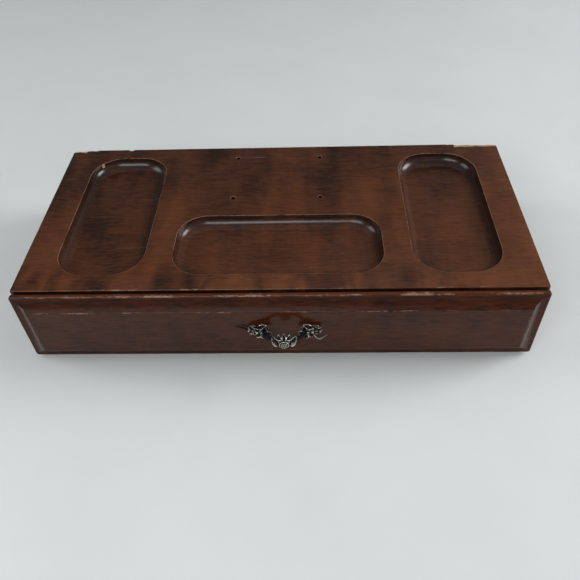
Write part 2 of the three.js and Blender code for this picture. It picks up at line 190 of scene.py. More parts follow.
def turned(outline: Sequence[tuple[float, float]], steps: int) -> BMesh:
    """Turns an outline about Z into a closed solid.

    Args:
        outline: Points of (radius, height), with the first and the last on the axis.
        steps: How many steps a full turn has.

    Returns:
        The closed solid.
    """
    bm = bmesh.new()
    points = [bm.verts.new((radius, 0.0, height)) for radius, height in outline]
    edges = [bm.edges.new(pair) for pair in zip(points, points[1:], strict=False)]
    bmesh.ops.spin(
        bm,
        geom=points + edges,
        cent=(0.0, 0.0, 0.0),
        axis=UP,
        angle=2 * math.pi,
        steps=steps,
        use_merge=True,
        use_duplicate=False,
    )
    bmesh.ops.remove_doubles(bm, verts=bm.verts, dist=TINY / 10)
    bmesh.ops.recalc_face_normals(bm, faces=bm.faces)
    return bm


def sweep(path: Sequence[Vector], widths: Sequence[float], thick: Sequence[float], sides: int) -> BMesh:
    """Carries an oval section along a path.

    Args:
        path: The points that the middle of the section passes.
        widths: Half the section's width at each point.
        thick: Half the section's thickness at each point.
        sides: How many sides the section has.

    Returns:
        A closed bar with a flat cap at each end.
    """
    bm = bmesh.new()
    bmesh.ops.create_circle(bm, cap_ends=True, cap_tris=False, segments=sides, radius=1.0)
    last = len(path) - 1

    def section(i: int) -> Matrix:
        """Gives the section's place at one point of the path.

        Args:
            i: The point's number.

        Returns:
            The section's place as a matrix.
        """
        along = (path[min(i + 1, last)] - path[max(i - 1, 0)]).normalized()
        side = along.cross(SWEEP_RISE).normalized()
        rise = side.cross(along)
        axes = Matrix((side * widths[i], rise * thick[i], along)).transposed().to_4x4()
        return Matrix.Translation(path[i]) @ axes

    bmesh.ops.transform(bm, matrix=section(0), verts=bm.verts)
    bm.faces.ensure_lookup_table()
    end = bm.faces[0]
    for i in range(1, len(path)):
        grown = bmesh.ops.extrude_face_region(bm, geom=[end])
        fresh = [item for item in grown["geom"] if isinstance(item, BMVert)]
        bmesh.ops.transform(bm, matrix=section(i) @ section(i - 1).inverted(), verts=fresh)
        end = next(item for item in grown["geom"] if isinstance(item, BMFace))
    bmesh.ops.recalc_face_normals(bm, faces=bm.faces)
    return bm


def join(parts: Iterable[BMesh]) -> BMesh:
    """Puts several meshes into one and frees them.

    Args:
        parts: The meshes; they are freed.

    Returns:
        One mesh that holds them all.
    """
    whole = bmesh.new()
    for part in parts:
        mesh = bpy.data.meshes.new("part")
        part.to_mesh(mesh)
        part.free()
        whole.from_mesh(mesh)
        bpy.data.meshes.remove(mesh)
    return whole


def carve(solid: BMesh, cutters: Iterable[BMesh]) -> BMesh:
    """Cuts shapes out of a solid.

    Args:
        solid: The closed mesh that is cut; it is freed.
        cutters: Closed meshes of the spaces; they are freed.

    Returns:
        What is left of the solid.
    """
    scratch = []
    for part in [solid, *cutters]:
        mesh = bpy.data.meshes.new("scratch")
        part.to_mesh(mesh)
        part.free()
        thing = bpy.data.objects.new("scratch", mesh)
        bpy.context.scene.collection.objects.link(thing)
        scratch.append(thing)
    for tool in scratch[1:]:
        cut = scratch[0].modifiers.new("cut", "BOOLEAN")
        cut.operation = "DIFFERENCE"
        cut.solver = "EXACT"
        cut.object = tool
    bpy.context.view_layer.update()
    graph = bpy.context.evaluated_depsgraph_get()
    result = bpy.data.meshes.new_from_object(scratch[0].evaluated_get(graph))
    left = bmesh.new()
    left.from_mesh(result)
    bpy.data.meshes.remove(result)
    for thing in scratch:
        mesh = thing.data
        bpy.data.objects.remove(thing)
        bpy.data.meshes.remove(mesh)
    return left


def rounded_board(low: Vector, high: Vector, radius: float, segments: int) -> BMesh:
    """Makes a board with all its edges softened.

    Args:
        low: The lowest corner.
        high: The highest corner.
        radius: How far back from each edge the rounding starts.
        segments: How many facets the rounding has.

    Returns:
        The closed board.
    """
    bm = block(low, high)
    round_edges(bm, bm.edges[:], radius, segments)
    return bm


def middle_of(node: str) -> Vector:
    """Gives the middle of a node's box."""
    low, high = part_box(node)
    return (low + high) / 2


def mark(bm: BMesh, name: str, amount: Callable[[BMFace], float]) -> None:
    """Stores a mark on each face, which its finish reads.

    Args:
        bm: The mesh to mark.
        name: The mark's name: wear for rubbed edges, shade for darker stain together with painted shade, and
            below 0 for painted light.
        amount: Gives a face's mark, from 0 for none to 1 for the most.
    """
    layer = bm.faces.layers.float.get(name) or bm.faces.layers.float.new(name)
    for face in bm.faces:
        face[layer] = amount(face)


def tilted(face: BMFace) -> float:
    """Gives 1 for a face that lies across an edge, and 0 for one that faces along an axis."""
    return 0.0 if max(abs(x) for x in face.normal) > 0.995 else 1.0


@dataclass(frozen=True)
class Place:
    """Where a finished piece belongs.

    Attributes:
        body: The body that it rides on.
        nodes: The frame's nodes that it stands for.
        slot: The record's material slot that the piece stands for; it is not used.
    """

    body: Body
    nodes: tuple[str, ...]
    slot: str


def finish_piece(
    bm: BMesh,
    name: str,
    place: Place,
    looks: Sequence[bpy.types.Material],
    smooth: float = 40.0,
    subdivide: int = 0,
) -> bpy.types.Object:
    """Makes a finished piece from its mesh and sets it in the frame.

    Args:
        bm: The mesh, already in its place; it is freed.
        name: The piece's name.
        place: Where it belongs.
        looks: Its materials, in the order of its faces' indices.
        smooth: The largest angle in degrees over which the shading stays smooth.
        subdivide: How many levels of subdivision the piece is drawn with.

    Returns:
        The object, at the origin.
    """
    mesh = bpy.data.meshes.new(name)
    bm.to_mesh(mesh)
    bm.free()
    for polygon in mesh.polygons:
        polygon.use_smooth = True
    mesh.set_sharp_from_angle(angle=math.radians(smooth))
    piece = bpy.data.objects.new(name, mesh)
    bpy.context.scene.collection.objects.link(piece)
    for look in looks:
        mesh.materials.append(look)
    if subdivide:
        rounding = piece.modifiers.new("rounding", "SUBSURF")
        rounding.levels = subdivide
        rounding.render_levels = subdivide
    else:
        shading = piece.modifiers.new("shading", "WEIGHTED_NORMAL")
        shading.keep_sharp = True
        shading.weight = 80
    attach(piece, place.body.value)
    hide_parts(*place.nodes)
    LOG.info("%s: %d faces", name, len(mesh.polygons))
    return piece


# ---------------------------------------------------------------- shader tools


class Wiring:
    """Adds nodes to one node tree and joins them."""

    def __init__(self, tree: bpy.types.NodeTree) -> None:
        """Takes the tree to work in."""
        self.tree = tree

    def node(self, kind: str, **settings: object) -> bpy.types.Node:
        """Adds a node and sets its plain properties.

        Args:
            kind: The node's type.
            settings: Its properties by name.

        Returns:
            The node.
        """
        made = self.tree.nodes.new(kind)
        for key, value in settings.items():
            setattr(made, key, value)
        return made

    def feed(self, socket: bpy.types.NodeSocket, value: object) -> None:
        """Gives a socket a link or a fixed value.

        Args:
            socket: The input.
            value: An output to link to it, or a fixed value.
        """
        if isinstance(value, bpy.types.NodeSocket):
            self.tree.links.new(value, socket)
        else:
            socket.default_value = value

    def stretch(self, vector: object, scale: tuple[float, float, float]) -> bpy.types.NodeSocket:
        """Scales a vector on each axis.

        Args:
            vector: The vector.
            scale: The factor on each axis.

        Returns:
            The scaled vector.
        """
        made = self.node("ShaderNodeVectorMath", operation="MULTIPLY")
        self.feed(made.inputs[0], vector)
        self.feed(made.inputs[1], scale)
        return made.outputs[0]

    def shift(self, vector: object, offset: object) -> bpy.types.NodeSocket:
        """Adds an offset to a vector.

        Args:
            vector: The vector.
            offset: What is added.

        Returns:
            The moved vector.
        """
        made = self.node("ShaderNodeVectorMath", operation="ADD")
        self.feed(made.inputs[0], vector)
        self.feed(made.inputs[1], offset)
        return made.outputs[0]

    def noise(
        self,
        vector: object,
        detail: float = 2.0,
        rough: float = 0.5,
        scale: float = 1.0,
        bend: float = 0.0,
        output: str = "Fac",
    ) -> bpy.types.NodeSocket:
        """Adds a noise texture.

        Args:
            vector: Where it is read.
            detail: How many finer layers it has.
            rough: How strong the finer layers are.
            scale: How fine it is.
            bend: How much it is distorted.
            output: Fac for one value, or Color for three that stray apart.

        Returns:
            The output that was asked for.
        """
        made = self.node("ShaderNodeTexNoise")
        self.feed(made.inputs["Vector"], vector)
        self.feed(made.inputs["Scale"], scale)
        self.feed(made.inputs["Detail"], detail)
        self.feed(made.inputs["Roughness"], rough)
        self.feed(made.inputs["Distortion"], bend)
        return made.outputs[output]

    def mark(self, name: str) -> bpy.types.NodeSocket:
        """Reads a mark that a piece's faces carry."""
        return self.node("ShaderNodeAttribute", attribute_type="GEOMETRY", attribute_name=name).outputs["Fac"]

    def own_place(self) -> bpy.types.NodeSocket:
        """Gives the piece's own coordinates."""
        return self.node("ShaderNodeTexCoord").outputs["Object"]

    def span(
        self, value: object, low: float, high: float, start: object = 0.0, end: object = 1.0
    ) -> bpy.types.NodeSocket:
        """Maps a value from one range to another and holds it there.

        Args:
            value: The value.
            low: Where its range starts.
            high: Where its range ends.
            start: What the start becomes.
            end: What the end becomes.

        Returns:
            The mapped value.
        """
        made = self.node("ShaderNodeMapRange", clamp=True)
        self.feed(made.inputs["Value"], value)
        self.feed(made.inputs["From Min"], low)
        self.feed(made.inputs["From Max"], high)
        self.feed(made.inputs["To Min"], start)
        self.feed(made.inputs["To Max"], end)
        return made.outputs["Result"]

    def sums(self, operation: str, first: object, second: object = 0.0) -> bpy.types.NodeSocket:
        """Does one sum on two values.

        Args:
            operation: The sum, as the Math node names it.
            first: Its first value.
            second: Its second value.

        Returns:
            The result.
        """
        made = self.node("ShaderNodeMath", operation=operation)
        self.feed(made.inputs[0], first)
        self.feed(made.inputs[1], second)
        return made.outputs[0]

    def mix(self, share: object, first: object, second: object) -> bpy.types.NodeSocket:
        """Mixes two colours.

        Args:
            share: How much of the second colour there is.
            first: The first colour.
            second: The second colour.

        Returns:
            The mixed colour.
        """
        made = self.node("ShaderNodeMix", data_type="RGBA")
        self.feed(made.inputs[0], share)
        self.feed(made.inputs[6], first)
        self.feed(made.inputs[7], second)
        return made.outputs[2]

    def split(self, vector: object) -> tuple[bpy.types.NodeSocket, ...]:
        """Gives the three parts of a vector.

        Args:
            vector: The vector.

        Returns:
            Its X, Y and Z.
        """
        made = self.node("ShaderNodeSeparateXYZ")
        self.feed(made.inputs[0], vector)
        return tuple(made.outputs)

    def ramp(self, value: object, stops: Sequence[tuple[float, Colour]]) -> bpy.types.NodeSocket:
        """Turns a value into a colour by stops.

        Args:
            value: The value.
            stops: Each stop's place, from 0 to 1, and its colour.

        Returns:
            The colour.
        """
        made = self.node("ShaderNodeValToRGB")
        self.feed(made.inputs[0], value)
        scale = made.color_ramp
        while len(scale.elements) < len(stops):
            scale.elements.new(0.5)
        for element, (place, colour) in zip(scale.elements, stops, strict=True):
            element.position = place
            element.color = colour
        return made.outputs[0]


class ShaderGroup:
    """A node group that several finishes share. A subclass names its sockets and wires its inside."""

    title: str = ""
    takes: tuple[tuple[str, str, object], ...] = ()
    gives: tuple[tuple[str, str], ...] = ()

    def tree(self) -> bpy.types.NodeTree:
        """Gives the group's tree, which is built the first time it is asked for.

        Returns:
            The tree.
        """
        found = bpy.data.node_groups.get(self.title)
        if found:
            return found
        made = bpy.data.node_groups.new(self.title, "ShaderNodeTree")
        for name, kind, value in self.takes:
            socket = made.interface.new_socket(name=name, in_out="INPUT", socket_type=kind)
            if value is not None:
                socket.default_value = value
        for name, kind in self.gives:
            made.interface.new_socket(name=name, in_out="OUTPUT", socket_type=kind)
        wiring = Wiring(made)
        inner = wiring.node("NodeGroupInput").outputs
        results = self.wire(wiring, inner)
        outer = wiring.node("NodeGroupOutput").inputs
        for name, socket in results.items():
            made.links.new(socket, outer[name])
        return made

    def wire(self, w: Wiring, given: bpy.types.NodeOutputs) -> dict[str, bpy.types.NodeSocket]:
        """Wires the inside of the group and gives its outputs by name."""
        raise NotImplementedError

    def use(self, w: Wiring, **values: object) -> bpy.types.NodeOutputs:
        """Places the group in a material.

        Args:
            w: The material's wiring.
            values: What feeds each input, by the input's name with _ for a space.

        Returns:
            The group's outputs.
        """
        placed = w.node("ShaderNodeGroup")
        placed.node_tree = self.tree()
        for key, value in values.items():
            w.feed(placed.inputs[key.replace("_", " ")], value)
        return placed.outputs


class GrainGroup(ShaderGroup):
    """Straight wood grain along X: wavy lines and fibres, a cloudy tone, and a dark curl across the grain."""

    title = "wood grain"
    takes = (
        ("Vector", "NodeSocketVector", None),
        ("Light", "NodeSocketColor", rgb(0.2, 0.08, 0.04)),
        ("Dark", "NodeSocketColor", rgb(0.03, 0.01, 0.01)),
        ("Tone", "NodeSocketFloat", 0.5),
        ("Lines", "NodeSocketFloat", 1.0),
        ("Cloud", "NodeSocketFloat", 0.5),
        ("Figure", "NodeSocketFloat", 0.0),
    )
    gives = (
        ("Color", "NodeSocketColor"),
        ("Tone", "NodeSocketFloat"),
        ("Height", "NodeSocketFloat"),
    )
    sway_scale: Scale = (9.0, 14.0, 14.0)
    sway_reach: float = 12 * MM
    ripple_scale: Scale = (85.0, 60.0, 60.0)
    ripple_reach: float = 3.4 * MM
    band_scale: Scale = (9.0, 120.0, 120.0)
    band_share: float = 0.18
    line_scale: Scale = (64.0, 560.0, 560.0)
    line_share: float = 0.56
    fibre_scale: Scale = (110.0, 2300.0, 2300.0)
    fibre_share: float = 0.5
    cloud_scale: Scale = (30.0, 12.0, 12.0)
    cloud_share: float = 1.4
    curl_scale: Scale = (34.0, 8.0, 8.0)
    curl_edges: tuple[float, float] = (0.47, 0.64)

    def wire(self, w: Wiring, given: bpy.types.NodeOutputs) -> dict[str, bpy.types.NodeSocket]:
        """Wires the bands, lines, fibres, clouds and curl into one colour and one height.

        Args:
            w: The material's wiring.
            given: The group's inputs by name.

        Returns:
            The group's outputs by name.
        """
        bent = w.shift(given["Vector"], self.slide(w, given["Vector"], self.sway_scale, 1.0, self.sway_reach))
        bent = w.shift(bent, self.slide(w, given["Vector"], self.ripple_scale, 2.0, self.ripple_reach))
        band = w.noise(w.stretch(bent, self.band_scale), detail=2.0)
        line = w.noise(w.stretch(bent, self.line_scale), detail=1.5, rough=0.5)
        fibre = w.noise(w.stretch(bent, self.fibre_scale), detail=2.0, rough=0.6)
        cloud = w.noise(w.stretch(given["Vector"], self.cloud_scale), detail=3.0, rough=0.55)
        curl = w.noise(w.stretch(bent, self.curl_scale), detail=2.5, rough=0.55, bend=0.8)
        drawn = w.sums("ADD", self.centred(w, band, self.band_share), self.centred(w, line, self.line_share))
        drawn = w.sums("ADD", drawn, self.centred(w, fibre, self.fibre_share))
        tone = w.sums("ADD", given["Tone"], w.sums("MULTIPLY", drawn, given["Lines"]))
        clouded = self.centred(w, cloud, self.cloud_share)
        tone = w.sums("ADD", tone, w.sums("MULTIPLY", clouded, given["Cloud"]))
        curled = w.span(curl, *self.curl_edges)
        tone = w.sums("SUBTRACT", tone, w.sums("MULTIPLY", curled, given["Figure"]))
        colour = w.mix(w.span(tone, 0.0, 1.0), given["Dark"], given["Light"])
        height = w.sums("ADD", w.sums("MULTIPLY", line, 0.5), w.sums("MULTIPLY", fibre, 0.5))
        return {"Color": colour, "Tone": tone, "Height": height}

    def slide(
        self, w: Wiring, place: object, scale: Scale, detail: float, reach: float
    ) -> bpy.types.NodeSocket:
        """Makes a noise, read at a place, that shifts the grain sideways by up to half the reach, in metres."""
        source = w.noise(w.stretch(place, scale), detail=detail, output="Color")
        return w.stretch(w.shift(source, (-0.5, -0.5, -0.5)), (0.0, reach, reach))

    def centred(self, w: Wiring, value: object, amount: float) -> bpy.types.NodeSocket:
        """Gives how far a noise strays from its middle, times an amount."""
        return w.sums("MULTIPLY", w.sums("SUBTRACT", value, 0.5), amount)


class WearGroup(ShaderGroup):
    """Patchy wear: the stronger the mark, the more of the finish is rubbed to a lighter colour."""

    title = "patchy wear"
    takes = (
        ("Vector", "NodeSocketVector", None),
        ("Color", "NodeSocketColor", rgb(0.1, 0.1, 0.1)),
        ("Rubbed", "NodeSocketColor", rgb(0.3, 0.2, 0.1)),
        ("Mark", "NodeSocketFloat", 0.0),
    )
    gives = (("Color", "NodeSocketColor"), ("Mask", "NodeSocketFloat"))
    patch_scale: Scale = (38.0, 60.0, 60.0)
    fine_scale: Scale = (300.0, 900.0, 900.0)
    fine_share: float = 0.38
    softness: float = 0.22

    def wire(self, w: Wiring, given: bpy.types.NodeOutputs) -> dict[str, bpy.types.NodeSocket]:
        """Wires the patches and the rubbed colour.

        Args:
            w: The material's wiring.
            given: The group's inputs by name.

        Returns:
            The group's outputs by name.
        """
        coarse = w.noise(w.stretch(given["Vector"], self.patch_scale), detail=2.0)
        fine = w.noise(w.stretch(given["Vector"], self.fine_scale), detail=3.0)
        patch = w.sums(
            "ADD",
            w.span(coarse, 0.3, 0.7, 0.0, 1.0 - self.fine_share),
            w.span(fine, 0.3, 0.7, 0.0, self.fine_share),
        )
        over = w.sums("SUBTRACT", patch, w.sums("SUBTRACT", 1.0, given["Mark"]))
        mask = w.span(over, 0.0, self.softness)
        return {"Color": w.mix(mask, given["Color"], given["Rubbed"]), "Mask": mask}


class SpeckGroup(ShaderGroup):
    """Small pale specks and short fine scratches on a polished surface."""

    title = "specks and scratches"
    takes = (
        ("Vector", "NodeSocketVector", None),
        ("Color", "NodeSocketColor", rgb(0.1, 0.1, 0.1)),
        ("Speck", "NodeSocketColor", rgb(0.4, 0.33, 0.28)),
        ("Amount", "NodeSocketFloat", 1.0),
    )
    gives = (("Color", "NodeSocketColor"),)
    speck_scale: float = 55.0
    speck_size: float = 0.04
    scratch_turn: float = 0.62
    scratch_scale: Scale = (14.0, 900.0, 40.0)
    scratch_strength: float = 0.22

    def wire(self, w: Wiring, given: bpy.types.NodeOutputs) -> dict[str, bpy.types.NodeSocket]:
        """Wires round specks and long thin scratches.

        Args:
            w: The material's wiring.
            given: The group's inputs by name.

        Returns:
            The group's outputs by name.
        """
        dots = w.node("ShaderNodeTexVoronoi", feature="F1", distance="EUCLIDEAN")
        w.feed(dots.inputs["Vector"], given["Vector"])
        w.feed(dots.inputs["Scale"], self.speck_scale)
        size = w.noise(given["Vector"], detail=0.0, scale=23.0)
        near = w.sums("SUBTRACT", w.span(size, 0.58, 0.76, 0.0, self.speck_size), dots.outputs["Distance"])
        speck = w.span(near, 0.0, 0.01)
        turn = w.node("ShaderNodeMapping")
        w.feed(turn.inputs["Vector"], given["Vector"])
        w.feed(turn.inputs["Rotation"], (0.0, 0.0, self.scratch_turn))
        w.feed(turn.inputs["Scale"], self.scratch_scale)
        line = w.noise(turn.outputs[0], detail=0.0)
        place = w.noise(given["Vector"], detail=1.0, scale=17.0)
        shown = w.span(place, 0.58, 0.68, 0.0, self.scratch_strength)
        scratch = w.sums("MULTIPLY", w.span(line, 0.76, 0.84), shown)
        mask = w.sums("MULTIPLY", w.sums("MAXIMUM", speck, scratch), given["Amount"])
        return {"Color": w.mix(mask, given["Color"], given["Speck"])}


def new_material(name: str) -> tuple[bpy.types.Material, Wiring, bpy.types.Node]:
    """Makes an empty material with its shader and its output.

    Args:
        name: The material's name.

    Returns:
        The material, its wiring and its Principled shader.
    """
    look = bpy.data.materials.new(name)
    look.use_nodes = True
    look.node_tree.nodes.clear()
    w = Wiring(look.node_tree)
    shader = w.node("ShaderNodeBsdfPrincipled")
    output = w.node("ShaderNodeOutputMaterial")
    w.feed(output.inputs["Surface"], shader.outputs["BSDF"])
    return look, w, shader


def object_space(w: Wiring, run: GrainRun, offset: tuple[float, float, float]) -> bpy.types.NodeSocket:
    """Gives the piece's own coordinates, turned to its grain and moved so that no two boards match.

    Args:
        w: The material's wiring.
        run: Which way the grain runs.
        offset: How far the pattern is moved.

    Returns:
        The coordinates.
    """
    turn = w.node("ShaderNodeMapping")
    w.feed(turn.inputs["Vector"], w.own_place())
    w.feed(turn.inputs["Rotation"], run.value)
    w.feed(turn.inputs["Location"], offset)
    return turn.outputs[0]


def bump(w: Wiring, height: object, depth: float) -> bpy.types.NodeSocket:
    """Turns a height into a normal, with its full depth in metres.

    Args:
        w: The material's wiring.
        height: The height, from 0 to 1.
        depth: What a height of 1 stands for, in metres.

    Returns:
        The normal.
    """
    made = w.node("ShaderNodeBump")
    w.feed(made.inputs["Strength"], 1.0)
    w.feed(made.inputs["Distance"], depth)
    w.feed(made.inputs["Height"], height)
    return made.outputs["Normal"]


@dataclass(frozen=True)
class Timber:
    """A wood's palest and darkest colours, and its colour where the finish is rubbed off."""

    light: Colour
    dark: Colour
    rubbed: Colour


STAINED = Timber(rgb(0.170, 0.054, 0.019), rgb(0.021, 0.0070, 0.0042), rgb(0.25, 0.142, 0.098))
RED_STAINED = Timber(rgb(0.165, 0.043, 0.013), rgb(0.022, 0.0060, 0.0036), rgb(0.25, 0.142, 0.098))
PALE = Timber(rgb(0.56, 0.37, 0.205), rgb(0.24, 0.13, 0.06), rgb(0.20, 0.12, 0.065))
BIRCH_PLY = Timber(rgb(0.54, 0.38, 0.22), rgb(0.28, 0.175, 0.09), rgb(0.22, 0.135, 0.07))


@dataclass(frozen=True)
class LacqueredWood:
    """Stained wood under a satin lacquer, rubbed pale on its marked edges.

    Attributes:
        name: The material's name.
        timber: The wood's colours.
        run: Which way the grain runs.
        offset: Moves the pattern, so that no two boards match.
        tone: The wood's middle tone, from 0 for its darkest to 1 for its palest colour.
        drift_and_light: How much paler it is towards the case's front right corner than towards its back left;
            partly the board's own tone, partly painted light where the light falls strongest.
        lines: How strong the grain lines are.
        cloud: How strongly the tone drifts over the board.
        figure: How strong the dark curl across the grain is all over.
        edge_figure: How much stronger the curl is towards the front edge.
        rough: The lacquer's roughness.
        specks: How many specks and scratches there are.
        polish: How strongly it mirrors what is round it.
        dull: How much rougher the shaded faces are.
    """

    name: str
    timber: Timber = STAINED
    run: GrainRun = GrainRun.ALONG_X
    offset: tuple[float, float, float] = (0.0, 0.0, 0.0)
    tone: float = 0.42
    drift_and_light: float = 0.0
    lines: float = 1.0
    cloud: float = 0.5
    figure: float = 0.05
    edge_figure: float = 0.0
    rough: float = 0.22
    specks: float = 1.0
    polish: float = 0.5
    dull: float = 0.0

    def tone_and_light_drift(self, w: Wiring, across: object, deep: object) -> bpy.types.NodeSocket:
        """Gives how pale a place is: least at the case's back left, most at its front right; partly the board's
        own tone, partly painted light from the brighter front and right.
        """
        sides = w.sums("ADD", w.span(across, -0.2, 0.0, -0.3, 0.0), w.span(across, 0.1, 0.2, 0.0, 0.7))
        return w.sums("ADD", sides, w.span(deep, 0.1, -0.1, -0.5, 0.8))

    def build(self) -> bpy.types.Material:
        """Builds the material.

        Returns:
            The material.
        """
        look, w, shader = new_material(self.name)
        own = w.own_place()
        space = object_space(w, self.run, self.offset)
        across, deep, _ = w.split(own)
        # Paler towards the front right: the board's own tone together with painted light.
        tone_and_light_drift = self.tone_and_light_drift(w, across, deep)
        # The shade mark lowers the tone: darker stain with painted shade in coves and gaps; below 0 it is
        # painted light.
        shade = w.mark("shade")
        tone = w.sums("ADD", w.sums("MULTIPLY", tone_and_light_drift, self.drift_and_light), self.tone)
        grain = GrainGroup().use(
            w,
            Vector=space,
            Light=self.timber.light,
            Dark=self.timber.dark,
            Tone=w.sums("SUBTRACT", tone, w.sums("MULTIPLY", shade, SHADE_DARKENS)),
            Lines=self.lines,
            Cloud=self.cloud,
            Figure=w.span(deep, *CURL_BAND, self.figure, self.figure + self.edge_figure),
        )
        wear = w.mark("wear")
        worn = WearGroup().use(w, Vector=space, Color=grain["Color"], Rubbed=self.timber.rubbed, Mark=wear)
        specked = SpeckGroup().use(w, Vector=space, Color=worn["Color"], Amount=self.specks)
        w.feed(shader.inputs["Base Color"], specked["Color"])
        smear = w.noise(w.stretch(own, (16.0, 22.0, 22.0)), detail=4.0, rough=0.6)
        gloss = w.span(smear, 0.3, 0.7, self.rough - 0.03, self.rough + 0.06)
        gloss = w.sums("ADD", gloss, w.span(shade, 0.0, FULL_SHADE, 0.0, self.dull))
        w.feed(shader.inputs["Roughness"], w.sums("ADD", gloss, w.sums("MULTIPLY", worn["Mask"], 0.1)))
        ripple = w.noise(w.stretch(own, (45.0, 60.0, 60.0)), detail=1.0)
        height = w.sums("ADD", w.sums("MULTIPLY", grain["Height"], 0.25), w.sums("MULTIPLY", ripple, 0.75))
        w.feed(shader.inputs["Normal"], bump(w, height, 0.08 * MM))
        shader.inputs["IOR"].default_value = LACQUER_IOR
        shader.inputs["Specular IOR Level"].default_value = self.polish
        return look


@dataclass(frozen=True)
class BareWood:
    """Plain sanded wood with no lacquer, a little soiled.

    Attributes:
        name: The material's name.
        timber: The wood's colours.
        run: Which way the grain runs.
        offset: Moves the pattern.
        rough: How rough the surface is.
    """

    name: str
    timber: Timber = PALE
    run: GrainRun = GrainRun.ALONG_X
    offset: tuple[float, float, float] = (0.0, 0.0, 0.0)
    rough: float = 0.62

    def build(self) -> bpy.types.Material:
        """Builds the material.

        Returns:
            The material.
        """
        look, w, shader = new_material(self.name)
        space = object_space(w, self.run, self.offset)
        grain = GrainGroup().use(
            w,
            Vector=space,
            Light=self.timber.light,
            Dark=self.timber.dark,
            Tone=0.62,
            Lines=1.1,
            Cloud=0.3,
            Figure=0.05,
        )
        soil = w.noise(w.stretch(space, (20.0, 20.0, 20.0)), detail=4.0, rough=0.62)
        soiled = w.mix(w.span(soil, 0.52, 0.78, 0.0, 0.3), grain["Color"], self.timber.dark)
        wear = w.mark("wear")
        worn = WearGroup().use(w, Vector=space, Color=soiled, Rubbed=self.timber.rubbed, Mark=wear)
        w.feed(shader.inputs["Base Color"], worn["Color"])
        gloss = w.span(grain["Tone"], 0.0, 1.0, self.rough - 0.08, self.rough + 0.1)
        w.feed(shader.inputs["Roughness"], gloss)
        w.feed(shader.inputs["Normal"], bump(w, grain["Height"], 0.18 * MM))
        return look


@dataclass(frozen=True)
class TornWood:
    """Raw broken wood: pale, fibrous and dull."""

    name: str = "torn_wood"

    def build(self) -> bpy.types.Material:
        """Builds the material.

        Returns:
            The material.
        """
        look, w, shader = new_material(self.name)
        space = object_space(w, GrainRun.ALONG_X, (0.02, 0.0, 0.0))
        fibre = w.noise(w.stretch(space, (90.0, 900.0, 700.0)), detail=4.0, rough=0.7)
        colour = w.ramp(
            fibre,
            (
                (0.30, rgb(0.10, 0.045, 0.02)),
                (0.46, rgb(0.36, 0.215, 0.11)),
                (0.72, rgb(0.60, 0.43, 0.27)),
            ),
        )
        w.feed(shader.inputs["Base Color"], colour)
        w.feed(shader.inputs["Roughness"], w.span(fibre, 0.3, 0.7, 0.7, 0.9))
        w.feed(shader.inputs["Normal"], bump(w, fibre, 0.4 * MM))
        return look


@dataclass(frozen=True)
class Felt:
    """Felt or baize: short matted fibres with a soft sheen.

    Attributes:
        name: The material's name.
        deep: The colour between the fibres.
        pale: The colour of the fibre tips.
    """

    name: str
    deep: Colour
    pale: Colour

    def build(self) -> bpy.types.Material:
        """Builds the material.

        Returns:
            The material.
        """
        look, w, shader = new_material(self.name)
        own = w.own_place()
        tangle = w.noise(own, detail=4.0, rough=0.75, scale=1500.0, bend=1.5)
        worn = w.noise(own, detail=3.0, rough=0.6, scale=42.0)
        colour = w.mix(w.span(tangle, 0.32, 0.68), self.deep, self.pale)
        colour = w.mix(w.span(worn, 0.45, 0.75, 0.0, 0.35), colour, self.pale)
        w.feed(shader.inputs["Base Color"], colour)
        w.feed(shader.inputs["Roughness"], w.span(tangle, 0.3, 0.7, 0.85, 1.0))
        w.feed(shader.inputs["Normal"], bump(w, tangle, 0.4 * MM))
        shader.inputs["Sheen Weight"].default_value = 0.35
        shader.inputs["Sheen Roughness"].default_value = 0.5
        return look


@dataclass(frozen=True)
class CastMetal:
    """Metal with a dark patina in its hollows and bright rubbed edges.

    Attributes:
        name: The material's name.
        bright: The colour where it is rubbed.
        tarnish: The colour in the hollows.
        hollow: How far round a point its hollows are looked for, in metres.
        rough: How rough the rubbed metal is.
        rubbed: How much of it is rubbed, from 0 for hardly any to 1 for nearly all.
    """

    name: str
    bright: Colour
    tarnish: Colour
    hollow: float
    rough: float
    rubbed: float = 0.8

    def build(self) -> bpy.types.Material:
        """Builds the material.

        Returns:
            The material.
        """
        look, w, shader = new_material(self.name)
        own = w.own_place()
        shade = w.node("ShaderNodeAmbientOcclusion", samples=8, only_local=True)
        w.feed(shade.inputs["Distance"], self.hollow)
        ridge = w.span(w.node("ShaderNodeNewGeometry").outputs["Pointiness"], 0.44, 0.56, -0.45, 0.45)
        grain = w.noise(own, detail=4.0, rough=0.65, scale=900.0)
        blotch = w.noise(own, detail=2.0, scale=190.0)
        clear = w.sums("ADD", shade.outputs["AO"], ridge)
        clear = w.sums("ADD", clear, w.span(grain, 0.3, 0.7, -0.1, 0.1))
        clear = w.sums("ADD", clear, w.span(blotch, 0.3, 0.7, -0.12, 0.12))
        start = 1.15 - self.rubbed
        open_share = w.span(clear, start, start + 0.3)
        w.feed(shader.inputs["Base Color"], w.mix(open_share, self.tarnish, self.bright))
        w.feed(shader.inputs["Metallic"], w.span(open_share, 0.0, 1.0, 0.7, 1.0))
        w.feed(shader.inputs["Roughness"], w.span(open_share, 0.0, 1.0, self.rough + 0.3, self.rough))
        w.feed(shader.inputs["Normal"], bump(w, grain, 0.06 * MM))
        return look


